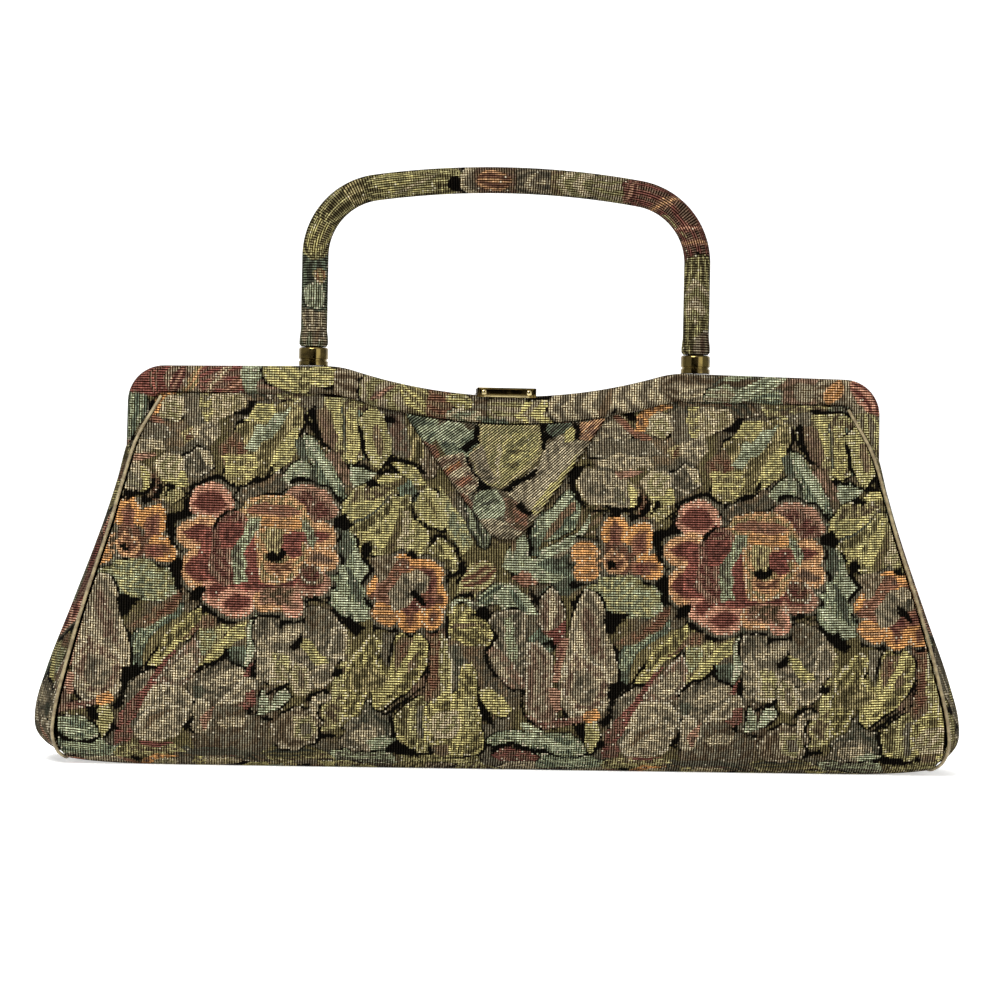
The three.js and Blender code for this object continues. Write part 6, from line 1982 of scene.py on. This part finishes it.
def brocade_material():
    """Cloth of round threads: upright ribs or level picks, as each cell's weave says, with metal glints."""
    material, tree, shader = new_material("brocade")
    tint = node(tree, "ShaderNodeAttribute", attribute_name="Weave").outputs
    spark = node(tree, "ShaderNodeAttribute", attribute_name="Glint").outputs
    cloth = node(tree, "ShaderNodeUVMap", uv_map="Cloth")
    split = node(tree, "ShaderNodeSeparateXYZ")
    tree.links.new(cloth.outputs["UV"], split.inputs[0])
    rib = ramp(tree, math_node(tree, "PINGPONG", split.outputs["X"], 0.5), THREAD_PROFILE)
    pick = ramp(tree, math_node(tree, "PINGPONG", split.outputs["Y"], 0.5), THREAD_PROFILE)
    kind = ramp(tree, tint["Alpha"], KIND_RANGE)
    upper = math_node(tree, "MULTIPLY", mix_float(tree, kind, rib, pick), UPPER_SHARE)
    lower = math_node(tree, "MULTIPLY", mix_float(tree, kind, pick, rib), 1 - UPPER_SHARE)
    relief = math_node(tree, "ADD", upper, lower)
    # the relief's tone darkens the troughs between threads: painted shade, partly the dark of the gaps
    # themselves
    steep = math_node(tree, "MULTIPLY", math_node(tree, "POWER", relief, RELIEF_POWER), RELIEF_GAIN)
    tone = math_node(tree, "ADD", steep, RELIEF_FLOOR)
    grey = node(tree, "ShaderNodeRGBToBW")
    tree.links.new(tint["Color"], grey.inputs["Color"])
    # painted sheen on the crests and warm painted shade in the troughs
    sheen = mix_colour(tree, 1.0, grey.outputs["Val"], CREST_HUE, "MULTIPLY")
    crest = mix_colour(tree, CREST_SHEEN, tint["Color"], sheen)
    trough_shade = mix_colour(tree, 1.0, tint["Color"], TROUGH_SHADE_HUE, "MULTIPLY")
    thread = mix_colour(tree, 1.0, mix_colour(tree, relief, trough_shade, crest), tone, "MULTIPLY")
    dot = math_node(tree, "MULTIPLY", spark["Fac"], math_node(tree, "MULTIPLY", rib, pick))
    tree.links.new(mix_colour(tree, dot, thread, GLINT_COLOUR), shader.inputs["Base Color"])
    tree.links.new(mix_float(tree, dot, CLOTH_ROUGHNESS, GLINT_ROUGHNESS), shader.inputs["Roughness"])
    shader.inputs["Specular IOR Level"].default_value = CLOTH_SPECULAR
    add_bump(tree, shader, relief, *CLOTH_BUMP)
    return material


def piping_material():
    """Cream welt, worn darker in places."""
    material, tree, shader = new_material("piping")
    place = node(tree, "ShaderNodeNewGeometry").outputs["Position"]
    grain = noise(tree, place, *PIPING_NOISE)
    kept = ramp(tree, grain, PIPING_WEAR)
    tree.links.new(mix_colour(tree, kept, *PIPING_COLOURS), shader.inputs["Base Color"])
    tree.links.new(mix_float(tree, kept, *PIPING_ROUGHNESS), shader.inputs["Roughness"])
    add_bump(tree, shader, grain, *PIPING_BUMP)
    return material


def metal_material(name):
    """Worn metal: polished colour with duller patches and fine scratches."""
    material, tree, shader = new_material(name)
    place = node(tree, "ShaderNodeNewGeometry").outputs["Position"]
    stretch = node(tree, "ShaderNodeMapping")
    stretch.inputs["Scale"].default_value = SCRATCH_STRETCH
    tree.links.new(place, stretch.inputs["Vector"])
    worn = ramp(tree, noise(tree, place, *METAL_NOISE), METAL_WEAR)
    tree.links.new(mix_colour(tree, worn, *METALS[name]), shader.inputs["Base Color"])
    tree.links.new(mix_float(tree, worn, *METAL_ROUGHNESS), shader.inputs["Roughness"])
    shader.inputs["Metallic"].default_value = 1.0
    add_bump(tree, shader, noise(tree, stretch.outputs["Vector"], *SCRATCH_NOISE), *METAL_BUMP)
    return material


# Assembly

BROCADE = brocade_material()
PIPING = piping_material()
BRASS = metal_material("brass")
AGED_BRASS_PAINTED_SHADE = metal_material("aged_brass_painted_shade")
BRASS_PAINTED_HIGHLIGHT = metal_material("brass_painted_highlight")
STEEL = metal_material("steel")


def dress(piece, material, slot, body, *nodes):
    """Gives a piece its material, the body it rides on and the CAD nodes it replaces; the slot is not used.
    """
    piece.data.materials.clear()
    piece.data.materials.append(material)
    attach(piece, body)
    if nodes:
        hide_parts(*nodes)
    return piece


front = dress(panel("panel_front", -1), BROCADE, "brocade", "bag", "main_panel")
back = dress(panel("panel_back", 1), BROCADE, "brocade", "bag")
for side, word in ((-1, "left"), (1, "right")):
    side_cloth = dress(gusset(f"gusset_{word}_cloth", side), BROCADE, "brocade", "bag", f"gusset_{word}")
    tucks = [
        dress(tuck(f"tuck_{place}_{word}", side, face), BROCADE, "brocade", "bag")
        for face, place in ((-1, "front"), (1, "back"))
    ]
    dress(piping(f"piping_{word}_welt", side), PIPING, "piping", "bag", f"piping_{word}")
    dress(ferrule(f"ferrule_{word}_turned", side), BRASS, "brass", "bag", f"ferrule_{word}")
dress(frame_half("frame_front_cloth", -1), BROCADE, "brocade", "bag", "frame_front")
dress(frame_half("frame_back_cloth", 1), BROCADE, "brocade", "bag", "frame_back")
tab = dress(flap(), BROCADE, "brocade", "bag", "flap")
dress(handle(), BROCADE, "brocade", "bag", "handle")
# the lever's body is darker brass, partly aged and partly painted shade; its knobs and bar are brighter
# brass, a painted highlight
dress(lever_body(), AGED_BRASS_PAINTED_SHADE, "brass", "clasp_lever", "clasp_lever")
dress(lever_trim(), BRASS_PAINTED_HIGHLIGHT, "brass", "clasp_lever")
kept_nodes = {"clasp_base": BRASS, "clasp_catch": BRASS, "hinge_pin_left": STEEL, "hinge_pin_right": STEEL}
for name, material in kept_nodes.items():
    frame["nodes"][name].data.materials.clear()
    frame["nodes"][name].data.materials.append(material)


# Stage, light and camera


def stage_piece(name, points, faces, colour, roughness, specular):
    """A piece of the surroundings, in metres, with a plain material. Returns it and its shader."""
    mesh = bpy.data.meshes.new(name)
    mesh.from_pydata(points, [], faces)
    mesh.shade_smooth()
    piece = bpy.data.objects.new(name, mesh)
    bpy.context.scene.collection.objects.link(piece)
    material, _, shader = new_material(name)
    shader.inputs["Base Color"].default_value = (*colour, 1.0)
    shader.inputs["Roughness"].default_value = roughness
    shader.inputs["Specular IOR Level"].default_value = specular
    mesh.materials.append(material)
    return piece, shader


def stage():
    """A pale floor that sweeps up behind the bag."""
    rows = [(-STAGE_HALF, 0.0), (STAGE_SWEEP_Y, 0.0)]
    for angle in np.linspace(0, math.pi / 2, STAGE_SWEEP_STEPS)[1:]:
        across, up = STAGE_SWEEP * math.sin(angle), STAGE_SWEEP * (1 - math.cos(angle))
        rows.append((STAGE_SWEEP_Y + across, up))
    rows.append((STAGE_SWEEP_Y + STAGE_SWEEP, STAGE_HEIGHT))
    points = [(x, y, z) for y, z in rows for x in (-STAGE_HALF, STAGE_HALF)]
    faces = [(2 * i, 2 * i + 1, 2 * i + 3, 2 * i + 2) for i in range(len(rows) - 1)]
    _, shader = stage_piece("stage", points, faces, STAGE_COLOUR, STAGE_ROUGHNESS, STAGE_SPECULAR)
    shader.inputs["Emission Color"].default_value = (*WHITE, 1.0)
    shader.inputs["Emission Strength"].default_value = STAGE_GLOW


def card():
    """A dark card behind the camera, which the metal mirrors."""
    left, right = CARD_X
    corners = ((left, 0.0), (right, 0.0), (right, CARD_HEIGHT), (left, CARD_HEIGHT))
    points = [(x, CARD_Y, z) for x, z in corners]
    screen, _ = stage_piece("card", points, [(0, 1, 2, 3)], CARD_COLOUR, 1.0, 0.0)
    screen.visible_camera = False


def area_light(name, place, width, power):
    light = bpy.data.lights.new(name, "AREA")
    light.shape = "SQUARE"
    light.size = width
    light.energy = power
    lamp = bpy.data.objects.new(name, light)
    bpy.context.scene.collection.objects.link(lamp)
    lamp.location = place
    offset = np.array(LIGHT_AIM) - np.array(place)
    lamp.rotation_euler = (
        math.acos(-offset[2] / np.linalg.norm(offset)),
        0.0,
        math.atan2(offset[1], offset[0]) - math.pi / 2,
    )


def camera():
    lens = bpy.data.cameras.new("camera")
    lens.sensor_fit = "HORIZONTAL"
    lens.sensor_width = SENSOR_WIDTH
    lens.lens = SENSOR_WIDTH * CAMERA_DISTANCE / CAMERA_FIELD
    lens.clip_start = CAMERA_NEAR
    eye = bpy.data.objects.new("camera", lens)
    bpy.context.scene.collection.objects.link(eye)
    eye.location = (
        (CAMERA_AIM_X - CAMERA_DISTANCE * math.sin(CAMERA_YAW)) * MM,
        -CAMERA_DISTANCE * math.cos(CAMERA_YAW) * MM,
        CAMERA_HEIGHT * MM,
    )
    eye.rotation_mode = "XYZ"
    eye.rotation_euler = (math.pi / 2, CAMERA_ROLL, -CAMERA_YAW)
    bpy.context.scene.camera = eye


def world():
    """A plain white surrounding."""
    made = bpy.data.worlds.new("world")
    made.use_nodes = True
    background = made.node_tree.nodes["Background"]
    background.inputs["Color"].default_value = (*WHITE, 1.0)
    background.inputs["Strength"].default_value = WORLD_GLOW
    bpy.context.scene.world = made


stage()
card()
camera()
for light_row in LIGHTS:
    area_light(*light_row)
world()
bpy.context.scene.view_settings.view_transform = "Standard"
